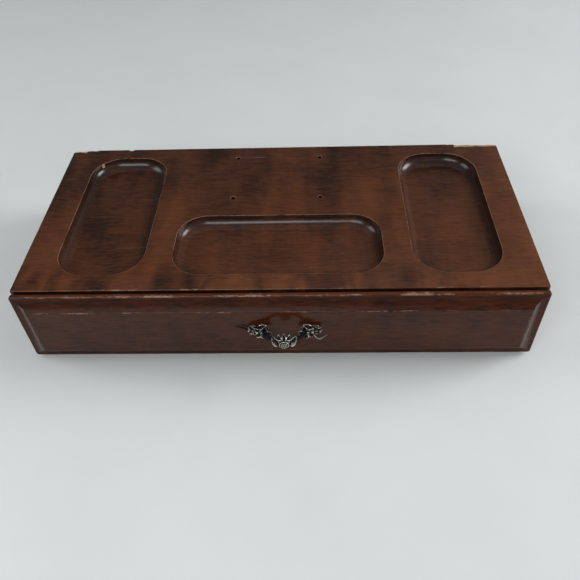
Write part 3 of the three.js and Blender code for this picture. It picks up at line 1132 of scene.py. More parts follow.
class Finishes:
    """All the finishes, each built once."""

    def __init__(self) -> None:
        """Builds every finish."""
        self.top = LacqueredWood("top_lacquer", tone=0.36, drift_and_light=0.3, cloud=0.75, edge_figure=0.36).build()
        front = LacqueredWood(
            "front_lacquer",
            timber=RED_STAINED,
            offset=(0.31, 0.12, 0.4),
            tone=0.12,
            drift_and_light=0.12,
            cloud=0.2,
            rough=0.13,
            polish=0.28,
            dull=0.6,
        )
        self.front = front.build()
        self.front_cove = replace(front, name="front_cove_lacquer", polish=0.13).build()
        deep = GrainRun.ALONG_Y
        self.side = LacqueredWood("side_lacquer", run=deep, offset=(0.1, 0.7, 0.2)).build()
        self.back = LacqueredWood("back_lacquer", offset=(0.9, 0.3, 0.1)).build()
        self.base = LacqueredWood("base_stain", offset=(0.5, 0.2, 0.6), rough=0.5).build()
        self.rack = LacqueredWood("rack_stain", run=deep, offset=(0.2, 0.4, 0.9), rough=0.36).build()
        self.torn = TornWood().build()
        self.box_across = BareWood("box_wood_across", offset=(0.2, 0.5, 0.3)).build()
        self.box_deep = BareWood("box_wood_deep", run=deep, offset=(0.6, 0.1, 0.8)).build()
        self.ply = BareWood("thin_ply", timber=BIRCH_PLY, offset=(0.7, 0.7, 0.2), rough=0.7).build()
        self.baize = Felt("green_baize", rgb(0.006, 0.045, 0.022), rgb(0.016, 0.105, 0.052)).build()
        self.felt = Felt("dark_felt", rgb(0.012, 0.011, 0.010), rgb(0.045, 0.042, 0.038)).build()
        worn_silver = (rgb(0.74, 0.70, 0.62), rgb(0.007, 0.006, 0.005))
        self.silver = CastMetal("aged_silver", *worn_silver, 2.0 * MM, 0.22, rubbed=0.1).build()
        # The near-black silver of the bow and the left leaf: dark patina together with painted shade.
        patina_and_shade_colours = (rgb(0.16, 0.145, 0.125), rgb(0.006, 0.005, 0.0045))
        self.patina_and_shade_silver = CastMetal("patina_and_shade_silver", *patina_and_shade_colours, 2.0 * MM, 0.36, rubbed=-0.2).build()
        plain_steel = (rgb(0.52, 0.51, 0.49), rgb(0.12, 0.10, 0.08))
        self.steel = CastMetal("screw_steel", *plain_steel, 0.8 * MM, 0.3).build()
        dull_brass = (rgb(0.48, 0.32, 0.13), rgb(0.10, 0.06, 0.025))
        self.brass = CastMetal("dull_brass", *dull_brass, 0.8 * MM, 0.34).build()


# ---------------------------------------------------------------- the case


@dataclass(frozen=True)
class Tray:
    """One dished tray: its middle, its size at the rim and its corner radius."""

    x: float
    y: float
    width: float
    depth: float
    corner: float


@dataclass
class TopBoard:
    """The top board with its dished trays, the holes of a lost fitting and its broken back corners."""

    finishes: Finishes
    arris: float = 0.8 * MM
    upright_arris: float = 1.0 * MM
    rim: float = 0.5 * MM
    tray_depth: float = 9.5 * MM
    clearance: float = 6 * MM
    trays: tuple[Tray, ...] = (
        Tray(-141.5 * MM, 16.25 * MM, 70 * MM, 159.5 * MM, 27 * MM),
        Tray(0.0, -27.75 * MM, 168 * MM, 71 * MM, 24.5 * MM),
        Tray(141.5 * MM, 16.25 * MM, 70 * MM, 159.5 * MM, 27 * MM),
    )
    hole_radius: float = 2.15 * MM
    hole_depth: float = 9 * MM
    fitting: tuple[float, float] = (-3.25 * MM, 62.75 * MM)
    fitting_spacing: tuple[float, float] = (76.5 * MM, 61 * MM)
    rim_chip: tuple[float, float] = (-169.9 * MM, 86.2 * MM)
    chip_size: Vector = field(default_factory=lambda: Vector((0.5, 1.2, 1.0)) * MM)
    chip_ragged: float = 0.7 * MM
    splinter_scale: float = 260.0
    fibre_scale: float = 900.0
    torn_depth: float = 12 * MM
    torn_reach: float = 8.5 * MM
    hole_mouth: float = 1.5 * MM
    hole_clearance: float = 5 * MM
    low: Vector = field(default_factory=lambda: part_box("top_board")[0])
    high: Vector = field(default_factory=lambda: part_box("top_board")[1])

    def blank(self) -> BMesh:
        """Makes the board before any tray is cut, with its corners and upper arrises rounded.

        Returns:
            The closed board.
        """
        bm = block(self.low, self.high)
        round_edges(bm, edges_along(bm, 2), self.upright_arris, 3)
        round_edges(bm, edges_at(bm, 2, self.high.z), self.arris, 5)
        return bm

    def tray_space(self, tray: Tray) -> BMesh:
        """Makes the space of one tray, straight at its rim and coved down to a flat floor.

        Args:
            tray: The tray.

        Returns:
            The closed space, open upwards past the board.
        """
        half = Vector((tray.width / 2, tray.depth / 2, 0.0))
        middle = Vector((tray.x, tray.y, 0.0))
        floor = UP * (self.high.z - self.tray_depth)
        above = UP * (self.high.z + self.clearance)
        bm = block(middle - half + floor, middle + half + above)
        round_edges(bm, edges_along(bm, 2), tray.corner, 14)
        round_edges(bm, edges_at(bm, 2, floor.z), self.tray_depth - self.rim - 0.1 * MM, 10)
        return bm

    def hole_spots(self) -> list[Vector]:
        """Gives the bottoms of the four screw holes.

        Returns:
            One place for each hole, on its axis.
        """
        middle = Vector((*self.fitting, self.high.z - self.hole_depth))
        wide, deep = self.fitting_spacing
        corners = [(-0.5, -0.5), (-0.5, 0.5), (0.5, -0.5), (0.5, 0.5)]
        return [middle + Vector((across * wide, back * deep, 0.0)) for across, back in corners]

    def holes(self) -> list[BMesh]:
        """Makes the spaces of the four screw holes."""
        length = self.hole_depth + self.hole_clearance
        return [bar(self.hole_radius, length, spot, UP, 20) for spot in self.hole_spots()]

    def break_space(self, low: Vector, high: Vector, lean: float, ragged: float) -> BMesh:
        """Makes the ragged space where wood has broken away.

        Args:
            low: The lowest corner of the break.
            high: The highest corner of the break.
            lean: How far the break leans back from top to bottom.
            ragged: How far its surface strays from flat.

        Returns:
            A closed ragged block.
        """
        bm = block(low, high)
        bmesh.ops.subdivide_edges(bm, edges=bm.edges[:], cuts=11, use_grid_fill=True)
        for vert in bm.verts:
            stray = noise.noise_vector(vert.co * self.splinter_scale) * ragged
            fine = noise.noise_vector(vert.co * self.fibre_scale) * ragged * 0.4
            fall = (high.z - vert.co.z) / (high.z - low.z)
            vert.co += stray + fine + Vector((0.0, lean * fall, 0.0))
        bmesh.ops.recalc_face_normals(bm, faces=bm.faces)
        return bm

    def breaks(self) -> list[BMesh]:
        """Makes the breaks: both back corners, a nick in the back edge and a chip in the left tray's rim.

        Returns:
            The closed spaces.
        """
        left, right, back, top = self.low.x, self.high.x, self.high.y, self.high.z
        spots = [
            (left - 8 * MM, left + 13 * MM, 5.2 * MM, 1.5 * MM, 5.0 * MM, 0.5 * MM),
            (left + 11 * MM, left + 24 * MM, 2.4 * MM, 1.0 * MM, 2.4 * MM, 0.4 * MM),
            (left + 54.5 * MM, left + 58.5 * MM, 3.0 * MM, 1.4 * MM, 2.8 * MM, 0.4 * MM),
            (right - 47 * MM, right - 30 * MM, 2.6 * MM, 0.5 * MM, 2.6 * MM, 0.2 * MM),
            (right - 40 * MM, right + 0.5 * MM, 6.0 * MM, 1.6 * MM, 5.8 * MM, 0.5 * MM),
        ]
        spaces = [
            self.break_space(
                Vector((start, back - reach, top - deep)),
                Vector((end, back + self.clearance, top + 0.5 * MM)),
                lean,
                ragged,
            )
            for start, end, reach, deep, lean, ragged in spots
        ]
        chip = Vector((*self.rim_chip, top))
        spaces.append(self.break_space(chip - self.chip_size, chip + self.chip_size, 0.0, self.chip_ragged))
        return spaces

    def is_torn(self, face: BMFace) -> bool:
        """Tells whether a face lies in one of the breaks.

        Args:
            face: The face.

        Returns:
            Whether it is raw wood.
        """
        middle = face.calc_center_median()
        flat = max(abs(x) for x in face.normal) > 0.9995
        from_chip = (abs(middle.x - self.rim_chip[0]), abs(middle.y - self.rim_chip[1]))
        if from_chip[0] < self.chip_size.x * 1.2 and from_chip[1] < self.chip_size.y * 1.2:
            return not flat
        spots = ((-203, -176), (-150, -141), (153, 203))
        near_back = middle.y > self.high.y - self.torn_reach and middle.z > self.high.z - self.torn_depth
        if not near_back or not any(a * MM < middle.x < b * MM for a, b in spots):
            return False
        on_arris = middle.y > self.high.y - self.arris and abs(face.normal.x) < 0.002
        return not flat and not on_arris

    def near_hole(self, spot: Vector) -> bool:
        """Tells whether a place lies at the mouth of a screw hole.

        Args:
            spot: The place.

        Returns:
            Whether it is near a hole.
        """
        mouths = [(space.x, space.y) for space in self.hole_spots()]
        reach = self.hole_radius + self.hole_mouth
        return any(math.hypot(spot.x - x, spot.y - y) < reach for x, y in mouths)

    def wear_of(self, face: BMFace) -> float:
        """Gives the wear of one face: all of it at the holes, most on the tray rims, less on the arrises.

        Args:
            face: The face.

        Returns:
            Its wear, from 0 to 1.
        """
        middle = face.calc_center_median()
        if face.normal.z > 0.9995 or face.normal.z < 0.3 or middle.z < self.high.z - self.arris:
            return 0.0
        if middle.y < self.low.y + self.arris:
            return 0.3
        if self.near_hole(middle):
            return 1.0
        outer = middle.y > self.high.y - self.arris or abs(middle.x) > self.high.x - self.arris
        return 0.4 if outer else 0.8

    def shade_of(self, face: BMFace) -> float:
        """Gives the shade mark of a face: darker stain with painted shade on the trays' coves, more on the
        faces that look left as a painted dark reflection, and painted shade on the board's front face in the
        gap above the drawer.

        Args:
            face: The face.

        Returns:
            Its shade, from 0 to 1.
        """
        middle = face.calc_center_median()
        cove = self.low.z + 2 * MM < middle.z < self.high.z - 0.3 * MM
        inside = abs(middle.x) < self.high.x - 5 * MM
        inside = inside and self.low.y + 5 * MM < middle.y < self.high.y - 9 * MM
        # The board's front face: painted shade in the gap above the drawer front.
        if face.normal.y < -0.99 and not inside:
            return 1.0
        if not (cove and inside):
            return 0.0
        # On the coves, darker stain with painted shade rises with steepness, and a painted dark reflection
        # darkens the faces that look left.
        steep = math.sqrt(max(0.0, 1.0 - face.normal.z**2))
        return min(1.0, 0.18 + 0.27 * steep + 0.9 * max(0.0, -face.normal.x))

    def build(self) -> bpy.types.Object:
        """Builds the board.

        Returns:
            The finished board.
        """
        spaces = [self.tray_space(tray) for tray in self.trays]
        bm = carve(self.blank(), spaces + self.holes())
        rims = [
            e
            for e in edges_at(bm, 2, self.high.z)
            if len(e.link_faces) == 2 and e.calc_face_angle(0.0) > math.radians(50)
        ]
        round_edges(bm, rims, self.rim, 2)
        bm = carve(bm, self.breaks())
        mark(bm, "wear", self.wear_of)
        mark(bm, "shade", self.shade_of)
        for face in bm.faces:
            face.material_index = 1 if self.is_torn(face) else 0
        place = Place(Body.CASE, ("top_board",), "stained_wood")
        return finish_piece(bm, "top_board_piece", place, [self.finishes.top, self.finishes.torn])


@dataclass
class CaseShell:
    """The sides, the back and the base of the case, with the strips that the drawer runs on."""

    finishes: Finishes
    edge: float = 0.6 * MM
    runner_edge: float = 0.35 * MM
    sink_radius: float = 4.1 * MM
    sink_depth: float = 4.2 * MM
    base_screws: int = 6

    def wall(self, node: str, look: bpy.types.Material) -> bpy.types.Object:
        """Builds one wall from its node's box.

        Args:
            node: The node that it stands for.
            look: Its material.

        Returns:
            The finished wall.
        """
        low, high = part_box(node)
        bm = rounded_board(low, high, self.edge, 3)
        mark(bm, "wear", lambda face: 0.6 * tilted(face))
        return finish_piece(bm, f"{node}_piece", Place(Body.CASE, (node,), "stained_wood"), [look])

    def base(self) -> bpy.types.Object:
        """Builds the base with a countersink for each of its screws.

        Returns:
            The finished base.
        """
        low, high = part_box("base_panel")
        bm = rounded_board(low, high, self.edge, 3)
        wide = self.sink_radius
        outline = [(0.0, -1 * MM), (wide, -1 * MM), (wide, 0.1 * MM), (0.0, self.sink_depth)]
        sinks = []
        for number in range(1, self.base_screws + 1):
            screw_low, screw_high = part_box(f"base_screw_{number}")
            middle = (screw_low + screw_high) / 2
            sink = turned(outline, 24)
            bmesh.ops.translate(sink, vec=(middle.x, middle.y, screw_low.z), verts=sink.verts)
            sinks.append(sink)
        bm = carve(bm, sinks)
        mark(bm, "wear", lambda face: 0.6 * tilted(face))
        place = Place(Body.CASE, ("base_panel",), "stained_wood")
        return finish_piece(bm, "base_panel_piece", place, [self.finishes.base])

    def runner(self, node: str) -> bpy.types.Object:
        """Builds one drawer runner, polished along its top.

        Args:
            node: The node that it stands for.

        Returns:
            The finished runner.
        """
        low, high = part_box(node)
        bm = rounded_board(low, high, self.runner_edge, 2)
        mark(bm, "wear", lambda face: 0.9 if face.normal.z > 0.5 else 0.2)
        place = Place(Body.CASE, (node,), "drawer_wood")
        return finish_piece(bm, f"{node}_piece", place, [self.finishes.box_deep])

    def build(self) -> None:
        """Builds the shell."""
        self.wall("left_side_panel", self.finishes.side)
        self.wall("right_side_panel", self.finishes.side)
        self.wall("back_panel", self.finishes.back)
        self.base()
        self.runner("left_drawer_runner")
        self.runner("right_drawer_runner")


@dataclass
class FootPads:
    """Four round felt pads, a little pressed where they meet the table."""

    finishes: Finishes
    names: tuple[str, ...] = ("front_left", "front_right", "back_left", "back_right")

    def pad(self, node: str) -> bpy.types.Object:
        """Builds one pad from its node's box.

        Args:
            node: The node that it stands for.

        Returns:
            The finished pad.
        """
        low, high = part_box(node)
        middle = (low + high) / 2
        radius = (high.x - low.x) / 2
        height = high.z - low.z
        outline = [
            (0.0, 0.0),
            (radius * 0.8, 0.0),
            (radius * 0.965, height * 0.12),
            (radius, height * 0.42),
            (radius * 0.985, height * 0.8),
            (radius * 0.955, height),
            (0.0, height),
        ]
        bm = turned(outline, 40)
        bmesh.ops.translate(bm, vec=(middle.x, middle.y, low.z), verts=bm.verts)
        place = Place(Body.CASE, (node,), "foot_felt")
        piece = finish_piece(bm, f"{node}_piece", place, [self.finishes.felt])
        return piece

    def build(self) -> None:
        """Builds the four pads."""
        for name in self.names:
            self.pad(f"{name}_foot_pad")


class HeadStyle(Enum):
    """The kinds of screw head."""

    COUNTERSUNK = "countersunk"
    PAN = "pan"


@dataclass(frozen=True)
class Screw:
    """One screw with a cross recess, made standing on its head and pointing up.

    Attributes:
        style: The kind of head.
        head: The head's radius.
        height: How far a pan head stands out, or how deep a countersunk head sinks.
        shank: The shank's radius.
        length: The length from the head's seat, or from its face when it is countersunk.
        thread: The distance from one thread to the next.
        plain_share: How much of the shank has no thread, from 0 to 1.
        tip: The length kept free of thread at the tip.
        recess: Half the width and half the depth of the cross recess.
    """

    style: HeadStyle
    head: float
    height: float
    shank: float
    length: float
    thread: float
    plain_share: float = 0.25
    tip: float = 1.5 * MM
    recess: tuple[float, float] = (0.42 * MM, 1.1 * MM)

    def outline(self) -> list[tuple[float, float]]:
        """Gives half of the screw's section, from its head's face to its tip.

        Returns:
            Points of (radius, height), from axis to axis.
        """
        if self.style is HeadStyle.COUNTERSUNK:
            points = [(0.0, 0.0), (self.head * 0.97, 0.0), (self.head, 0.15 * MM), (self.shank, self.height)]
            start = self.height
        else:
            points = [(0.0, -self.height)]
            for step in range(1, 5):
                angle = math.pi / 2 * step / 4
                points.append((self.head * math.sin(angle), -self.height * (0.25 + 0.75 * math.cos(angle))))
            points += [(self.head, 0.0), (self.shank, 0.0)]
            start = 0.0
        plain = start + (self.length - start) * self.plain_share
        points.append((self.shank * 0.96, plain))
        turns = int((self.length - plain - self.tip) / self.thread)
        for turn in range(turns):
            foot = plain + turn * self.thread
            points.append((self.shank * 0.72, foot + self.thread * 0.3))
            points.append((self.shank * 0.98, foot + self.thread * 0.7))
        points.append((self.shank * 0.6, self.length - 1.0 * MM))
        points.append((0.0, self.length))
        return points

    def mesh(self) -> BMesh:
        """Makes the screw at the origin.

        Returns:
            The closed screw.
        """
        bm = turned(self.outline(), 28)
        face = -self.height if self.style is HeadStyle.PAN else 0.0
        half, deep = self.recess
        wing = Vector((half, self.head * 0.62, deep))
        sizes = (wing, Vector((wing.y, wing.x, wing.z)))
        return carve(bm, [block(UP * face - size, UP * face + size) for size in sizes])


@dataclass
class Fasteners:
    """Every screw and washer of the case and the drawer."""

    finishes: Finishes
    bore: float = 2.25 * MM
    washer_edge: float = 0.2 * MM

    def drive(self, node: str, screw: Screw, seat: Vector, axis: Vector, body: Body) -> bpy.types.Object:
        """Sets one screw in its place.

        Args:
            node: The node that it stands for.
            screw: The screw's kind.
            seat: Where its seat, or its face if it is countersunk, lies.
            axis: The direction in which it points.
            body: The body that it rides on.

        Returns:
            The finished screw.
        """
        bm = screw.mesh()
        tightened = Matrix.Rotation(sum(map(ord, node)) * 0.37, 3, "Z")
        bmesh.ops.rotate(bm, cent=(0, 0, 0), matrix=tightened, verts=bm.verts)
        turn = UP.rotation_difference(axis).to_matrix().to_4x4()
        bmesh.ops.transform(bm, matrix=Matrix.Translation(seat) @ turn, verts=bm.verts)
        return finish_piece(bm, f"{node}_piece", Place(body, (node,), "steel"), [self.finishes.steel])

    def washer(self, node: str) -> bpy.types.Object:
        """Builds one flat washer from its node's box.

        Args:
            node: The node that it stands for.

        Returns:
            The finished washer.
        """
        low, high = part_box(node)
        middle = (low + high) / 2
        radius = (high.x - low.x) / 2
        thick = high.y - low.y
        ring = bar(radius, thick, Vector((middle.x, low.y, middle.z)), BACKWARD, 40)
        round_edges(ring, edges_at(ring, 1, low.y) + edges_at(ring, 1, high.y), self.washer_edge, 2)
        hole = bar(self.bore, thick + 2 * MM, Vector((middle.x, low.y - 1 * MM, middle.z)), BACKWARD, 32)
        place = Place(Body.DRAWER, (node,), "washer_brass")
        return finish_piece(carve(ring, [hole]), f"{node}_piece", place, [self.finishes.brass])

    def build(self) -> None:
        """Builds the screws and the washers."""
        long = Screw(HeadStyle.COUNTERSUNK, 3.7 * MM, 2 * MM, 1.74 * MM, 20 * MM, 1.3 * MM)
        short = replace(long, length=14 * MM)
        machine = Screw(HeadStyle.PAN, 3.95 * MM, 2.5 * MM, 1.98 * MM, 19 * MM, 0.7 * MM)
        for number in range(1, 7):
            node = f"base_screw_{number}"
            seat = middle_of(node)
            seat.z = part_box(node)[0].z
            self.drive(node, long, seat, UP, Body.CASE)
        for number in range(1, 5):
            node = f"drawer_front_screw_{number}"
            seat = middle_of(node)
            seat.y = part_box(node)[1].y
            self.drive(node, short, seat, FORWARD, Body.DRAWER)
        for number in range(1, 3):
            node = f"pull_screw_{number}"
            seat = middle_of(node)
            seat.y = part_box(node)[1].y - machine.height
            self.drive(node, machine, seat, FORWARD, Body.DRAWER)
            self.washer(f"pull_washer_{number}")


# ---------------------------------------------------------------- the drawer


@dataclass
class DrawerFront:
    """The drawer's outer front: a flat raised field inside a cove with a small flat land round it."""

    finishes: Finishes
    arris: float = 1.5 * MM
    corner: float = 2.4 * MM
    back_arris: float = 1.4 * MM
    land: float = 2.0 * MM
    cove_radius: float = 12.75 * MM
    cove_rise: float = 5.25 * MM
    cove_steps: int = 12
    ridge: float = 0.45 * MM
    ridge_wear: float = 0.44
    arris_wear_and_glint: float = 0.5
    top_wear: float = 0.34
    cove_shade: float = 0.12
    top_worn_and_lit: float = -0.42

    def build(self) -> bpy.types.Object:
        """Builds the front.

        Returns:
            The finished front.
        """
        low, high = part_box("drawer_front")
        rim = low.y + self.cove_rise
        bm = block(Vector((low.x, rim, low.z)), high)
        field_face = min(bm.faces, key=lambda f: f.normal.y)
        bmesh.ops.inset_region(bm, faces=[field_face], thickness=self.land, depth=0.0, use_even_offset=True)
        end = math.acos(1 - self.cove_rise / self.cove_radius)
        for step in range(self.cove_steps):
            start_angle = end * step / self.cove_steps
            next_angle = end * (step + 1) / self.cove_steps
            across = self.cove_radius * (math.sin(next_angle) - math.sin(start_angle))
            rise = self.cove_radius * (math.cos(start_angle) - math.cos(next_angle))
            bmesh.ops.inset_region(bm, faces=[field_face], thickness=across, depth=rise, use_even_offset=True)
        round_edges(bm, list(field_face.edges), self.ridge, 3)
        round_edges(bm, [e for e in edges_along(bm, 1) if e.calc_length() > 3 * MM], self.corner, 6)
        round_edges(bm, [e for e in edges_at(bm, 1, rim) if e.calc_face_angle(0.0) > 1.0], self.arris, 6)
        round_edges(bm, edges_at(bm, 1, high.y), self.back_arris, 4)

        def wear_of(face: BMFace) -> float:
            """Gives the wear of one face: on the ridge, the outer arris and the top edge; on the arris the
            rubbed colour also stands in for a painted glint.

            Args:
                face: The face.

            Returns:
                Its wear, from 0 to 1.
            """
            y = face.calc_center_median().y
            if face.normal.z > 0.99:
                return self.top_wear
            on_ridge = y < low.y + self.ridge and face.normal.y > -0.999
            on_arris = rim + 0.02 * MM < y < rim + self.arris and face.normal.z > 0.3
            # The top arris: real wear together with a painted glint.
            if on_arris:
                return self.arris_wear_and_glint
            return self.ridge_wear if on_ridge else 0.0

        def shade_of(face: BMFace) -> float:
            """Gives the shade mark of one face: darker and duller in the coves, gathered stain with painted
            shade; paler on top, worn finish with painted light; deepest on the back edges, painted shade in the
            gap.

            Args:
                face: The face.

            Returns:
                Its shade; below 0 it is paler than the rest.
            """
            middle = face.calc_center_median()
            # The back edges: painted shade in the gap under the top board.
            if middle.y > high.y - self.back_arris:
                return 1.0
            # The top faces: paler, a worn finish together with painted light.
            if face.normal.z > 0.6 and middle.y > rim:
                return self.top_worn_and_lit
            # The coves: darker and duller, gathered stain together with painted shade.
            cove = low.y + self.ridge * 0.6 < middle.y < rim and face.normal.y > -0.9995
            return self.cove_shade if cove and abs(face.normal.x) < 0.1 else 0.0

        mark(bm, "wear", wear_of)
        mark(bm, "shade", shade_of)
        for face in bm.faces:
            face.material_index = 1 if shade_of(face) > 0.1 else 0
        place = Place(Body.DRAWER, ("drawer_front",), "front_wood")
        looks = [self.finishes.front, self.finishes.front_cove]
        return finish_piece(bm, "drawer_front_piece", place, looks, smooth=24.0)


@dataclass
class DrawerBox:
    """The plain box behind the drawer's front, with its bottom held in grooves."""

    finishes: Finishes
    edge: float = 0.8 * MM
    groove_slack: float = 0.2 * MM
    recess_radius: float = 5.75 * MM
    bottom_edge: float = 0.25 * MM

    def groove(self) -> BMesh:
        """Makes the space of the groove that runs round the box for its bottom.

        Returns:
            The closed space.
        """
        low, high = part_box("drawer_bottom")
        slack = Vector((self.groove_slack, self.groove_slack, 0.0))
        return block(low - slack, high + slack + UP * self.groove_slack)

    def wall(self, node: str, look: bpy.types.Material, extra: Sequence[BMesh] = ()) -> bpy.types.Object:
        """Builds one wall with its groove and any further spaces.

        Args:
            node: The node that it stands for.
            look: Its material.
            extra: Further spaces to cut out; they are freed.

        Returns:
            The finished wall.
        """
        low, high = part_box(node)
        bm = block(low, high)
        round_edges(bm, edges_at(bm, 2, high.z), self.edge, 3)
        bm = carve(bm, [self.groove(), *extra])
        mark(bm, "wear", lambda face: 0.8 * tilted(face))
        return finish_piece(bm, f"{node}_piece", Place(Body.DRAWER, (node,), "drawer_wood"), [look])

    def counterbores(self) -> list[BMesh]:
        """Makes the recesses for the heads and washers of the pull's screws.

        Returns:
            The closed spaces.
        """
        spaces = []
        for number in (1, 2):
            low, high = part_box(f"pull_washer_{number}")
            start = (low + high) / 2
            start.y = low.y
            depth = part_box("drawer_inner_front")[1].y - start.y + 1 * MM
            spaces.append(bar(self.recess_radius, depth, start, BACKWARD, 40))
        return spaces

    def bottom(self) -> bpy.types.Object:
        """Builds the thin ply bottom.

        Returns:
            The finished bottom.
        """
        low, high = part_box("drawer_bottom")
        bm = rounded_board(low, high, self.bottom_edge, 2)
        mark(bm, "wear", tilted)
        place = Place(Body.DRAWER, ("drawer_bottom",), "plywood")
        return finish_piece(bm, "drawer_bottom_piece", place, [self.finishes.ply])

    def build(self) -> None:
        """Builds the box."""
        self.wall("drawer_inner_front", self.finishes.box_across, self.counterbores())
        self.wall("drawer_back", self.finishes.box_across)
        self.wall("drawer_left_side", self.finishes.box_deep)
        self.wall("drawer_right_side", self.finishes.box_deep)
        self.bottom()


@dataclass
class ChipRacks:
    """Two blocks with half-round troughs for rows of chips."""

    finishes: Finishes
    radius: float = 20.25 * MM
    pitch: float = 43.25 * MM
    troughs: int = 3
    floor: float = 1.75 * MM
    lip: float = 0.6 * MM
    lip_wear: float = 0.9

    def rack(self, node: str) -> bpy.types.Object:
        """Builds one rack from its node's box.

        Args:
            node: The node that it stands for.

        Returns:
            The finished rack.
        """
        low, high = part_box(node)
        middle = (low + high) / 2
        spaces = []
        for i in range(self.troughs):
            x = middle.x + (i - (self.troughs - 1) / 2) * self.pitch
            start = Vector((x, low.y - 5 * MM, low.z + self.floor + self.radius))
            spaces.append(bar(self.radius, high.y - low.y + 10 * MM, start, BACKWARD, 96))
        bm = carve(block(low, high), spaces)

        def is_lip(edge: BMEdge) -> bool:
            """Tells whether an edge of the top runs along a trough.

            Args:
                edge: The edge.

            Returns:
                Whether it is a trough's lip.
            """
            first, second = (vert.co.x for vert in edge.verts)
            at_side = min(abs(first - low.x), abs(first - high.x)) <= TINY
            return abs(first - second) < TINY and not at_side

        def wear_of(face: BMFace) -> float:
            """Gives the wear of one face: the lips of the troughs are rubbed."""
            on_lip = 0.2 < face.normal.z < 0.99 and face.calc_center_median().z > high.z - self.lip
            return self.lip_wear if on_lip else 0.0

        round_edges(bm, filter(is_lip, edges_at(bm, 2, high.z)), self.lip, 3)
        mark(bm, "wear", wear_of)
        place = Place(Body.DRAWER, (node,), "rack_wood")
        return finish_piece(bm, f"{node}_piece", place, [self.finishes.rack])

    def build(self) -> None:
        """Builds both racks."""
        self.rack("chip_rack_left")
        self.rack("chip_rack_right")


@dataclass
class CardWells:
    """The partitions of the two card wells and the baize on their floors."""

    finishes: Finishes
    top_radius: float = 1.7 * MM
    curl_reach: float = 5 * MM

    def partition(self, node: str, look: bpy.types.Material) -> bpy.types.Object:
        """Builds one partition with a rounded top edge.

        Args:
            node: The node that it stands for.
            look: Its material.

        Returns:
            The finished partition.
        """
        low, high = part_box(node)
        bm = block(low, high)
        long_axis = 0 if high.x - low.x > high.y - low.y else 1
        tops = [e for e in edges_at(bm, 2, high.z) if e in edges_along(bm, long_axis)]
        round_edges(bm, tops, self.top_radius, 5)
        mark(bm, "wear", lambda face: 0.5 * tilted(face))
        return finish_piece(bm, f"{node}_piece", Place(Body.DRAWER, (node,), "drawer_wood"), [look])

    def lining(self, node: str) -> bpy.types.Object:
        """Builds one baize lining, laid flat with its cut edges slightly raised.

        Args:
            node: The node that it stands for.

        Returns:
            The finished lining.
        """
        low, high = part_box(node)
        bm = bmesh.new()
        bmesh.ops.create_grid(bm, x_segments=24, y_segments=20, size=0.5)
        size = high - low
        bmesh.ops.scale(bm, vec=(size.x, size.y, 1.0), verts=bm.verts)
        bmesh.ops.translate(bm, vec=((low.x + high.x) / 2, (low.y + high.y) / 2, low.z), verts=bm.verts)
        thick = size.z * 0.72
        for vert in bm.verts:
            edge = min(vert.co.x - low.x, high.x - vert.co.x, vert.co.y - low.y, high.y - vert.co.y)
            curl = max(0.0, 1.0 - edge / self.curl_reach) * size.z * 0.2
            wave = (noise.noise(vert.co * 45.0) * 0.5 + 0.5) * size.z * 0.08
            vert.co.z = low.z + thick + curl + wave
        for vert in thicken(bm):
            vert.co.z = low.z
        bmesh.ops.recalc_face_normals(bm, faces=bm.faces)
        place = Place(Body.DRAWER, (node,), "baize")
        piece = finish_piece(bm, f"{node}_piece", place, [self.finishes.baize])
        return piece

    def build(self) -> None:
        """Builds the wells."""
        self.partition("well_partition_left", self.finishes.box_deep)
        self.partition("well_partition_right", self.finishes.box_deep)
        self.partition("well_divider", self.finishes.box_across)
        self.lining("well_lining_front")
        self.lining("well_lining_back")


@dataclass(frozen=True)
class Petal:
    """One cupped petal, made along +X with its face towards +Z.

    Attributes:
        length: From the middle of the flower to the tip.
        width: Across the widest place.
        start: Where it leaves the middle.
        cup: How far its edges rise.
        arch: How far its middle rises.
        droop: How far its tip falls.
        thick: How thick it is.
        point: How pointed it is, from 0 for a square end.
    """

    length: float
    width: float
    start: float = 1.2 * MM
    cup: float = 0.9 * MM
    arch: float = 1.0 * MM
    droop: float = 1.5 * MM
    thick: float = 0.9 * MM
    point: float = 0.7

    def mesh(self) -> BMesh:
        """Makes the petal lying from the origin along +X.

        Returns:
            The closed petal.
        """
        bm = bmesh.new()
        bmesh.ops.create_grid(bm, x_segments=7, y_segments=6, size=0.5)
        for vert in bm.verts:
            along = vert.co.x + 0.5
            across = vert.co.y * 2
            half = self.width / 2 * math.sin(math.pi * (0.12 + 0.80 * along**0.85)) ** self.point
            crease = -0.35 * self.cup * math.exp(-((across * 3.2) ** 2))
            rise = self.arch * math.sin(math.pi * along) - self.droop * along**2
            vert.co.x = self.start + (self.length - self.start) * (along - 0.10 * along * across**2)
            vert.co.y = half * across
            vert.co.z = rise + self.cup * across**2 * (0.3 + 0.7 * along) + crease
        bmesh.ops.translate(bm, vec=(0.0, 0.0, -self.thick), verts=thicken(bm))
        bmesh.ops.recalc_face_normals(bm, faces=bm.faces)
        return bm


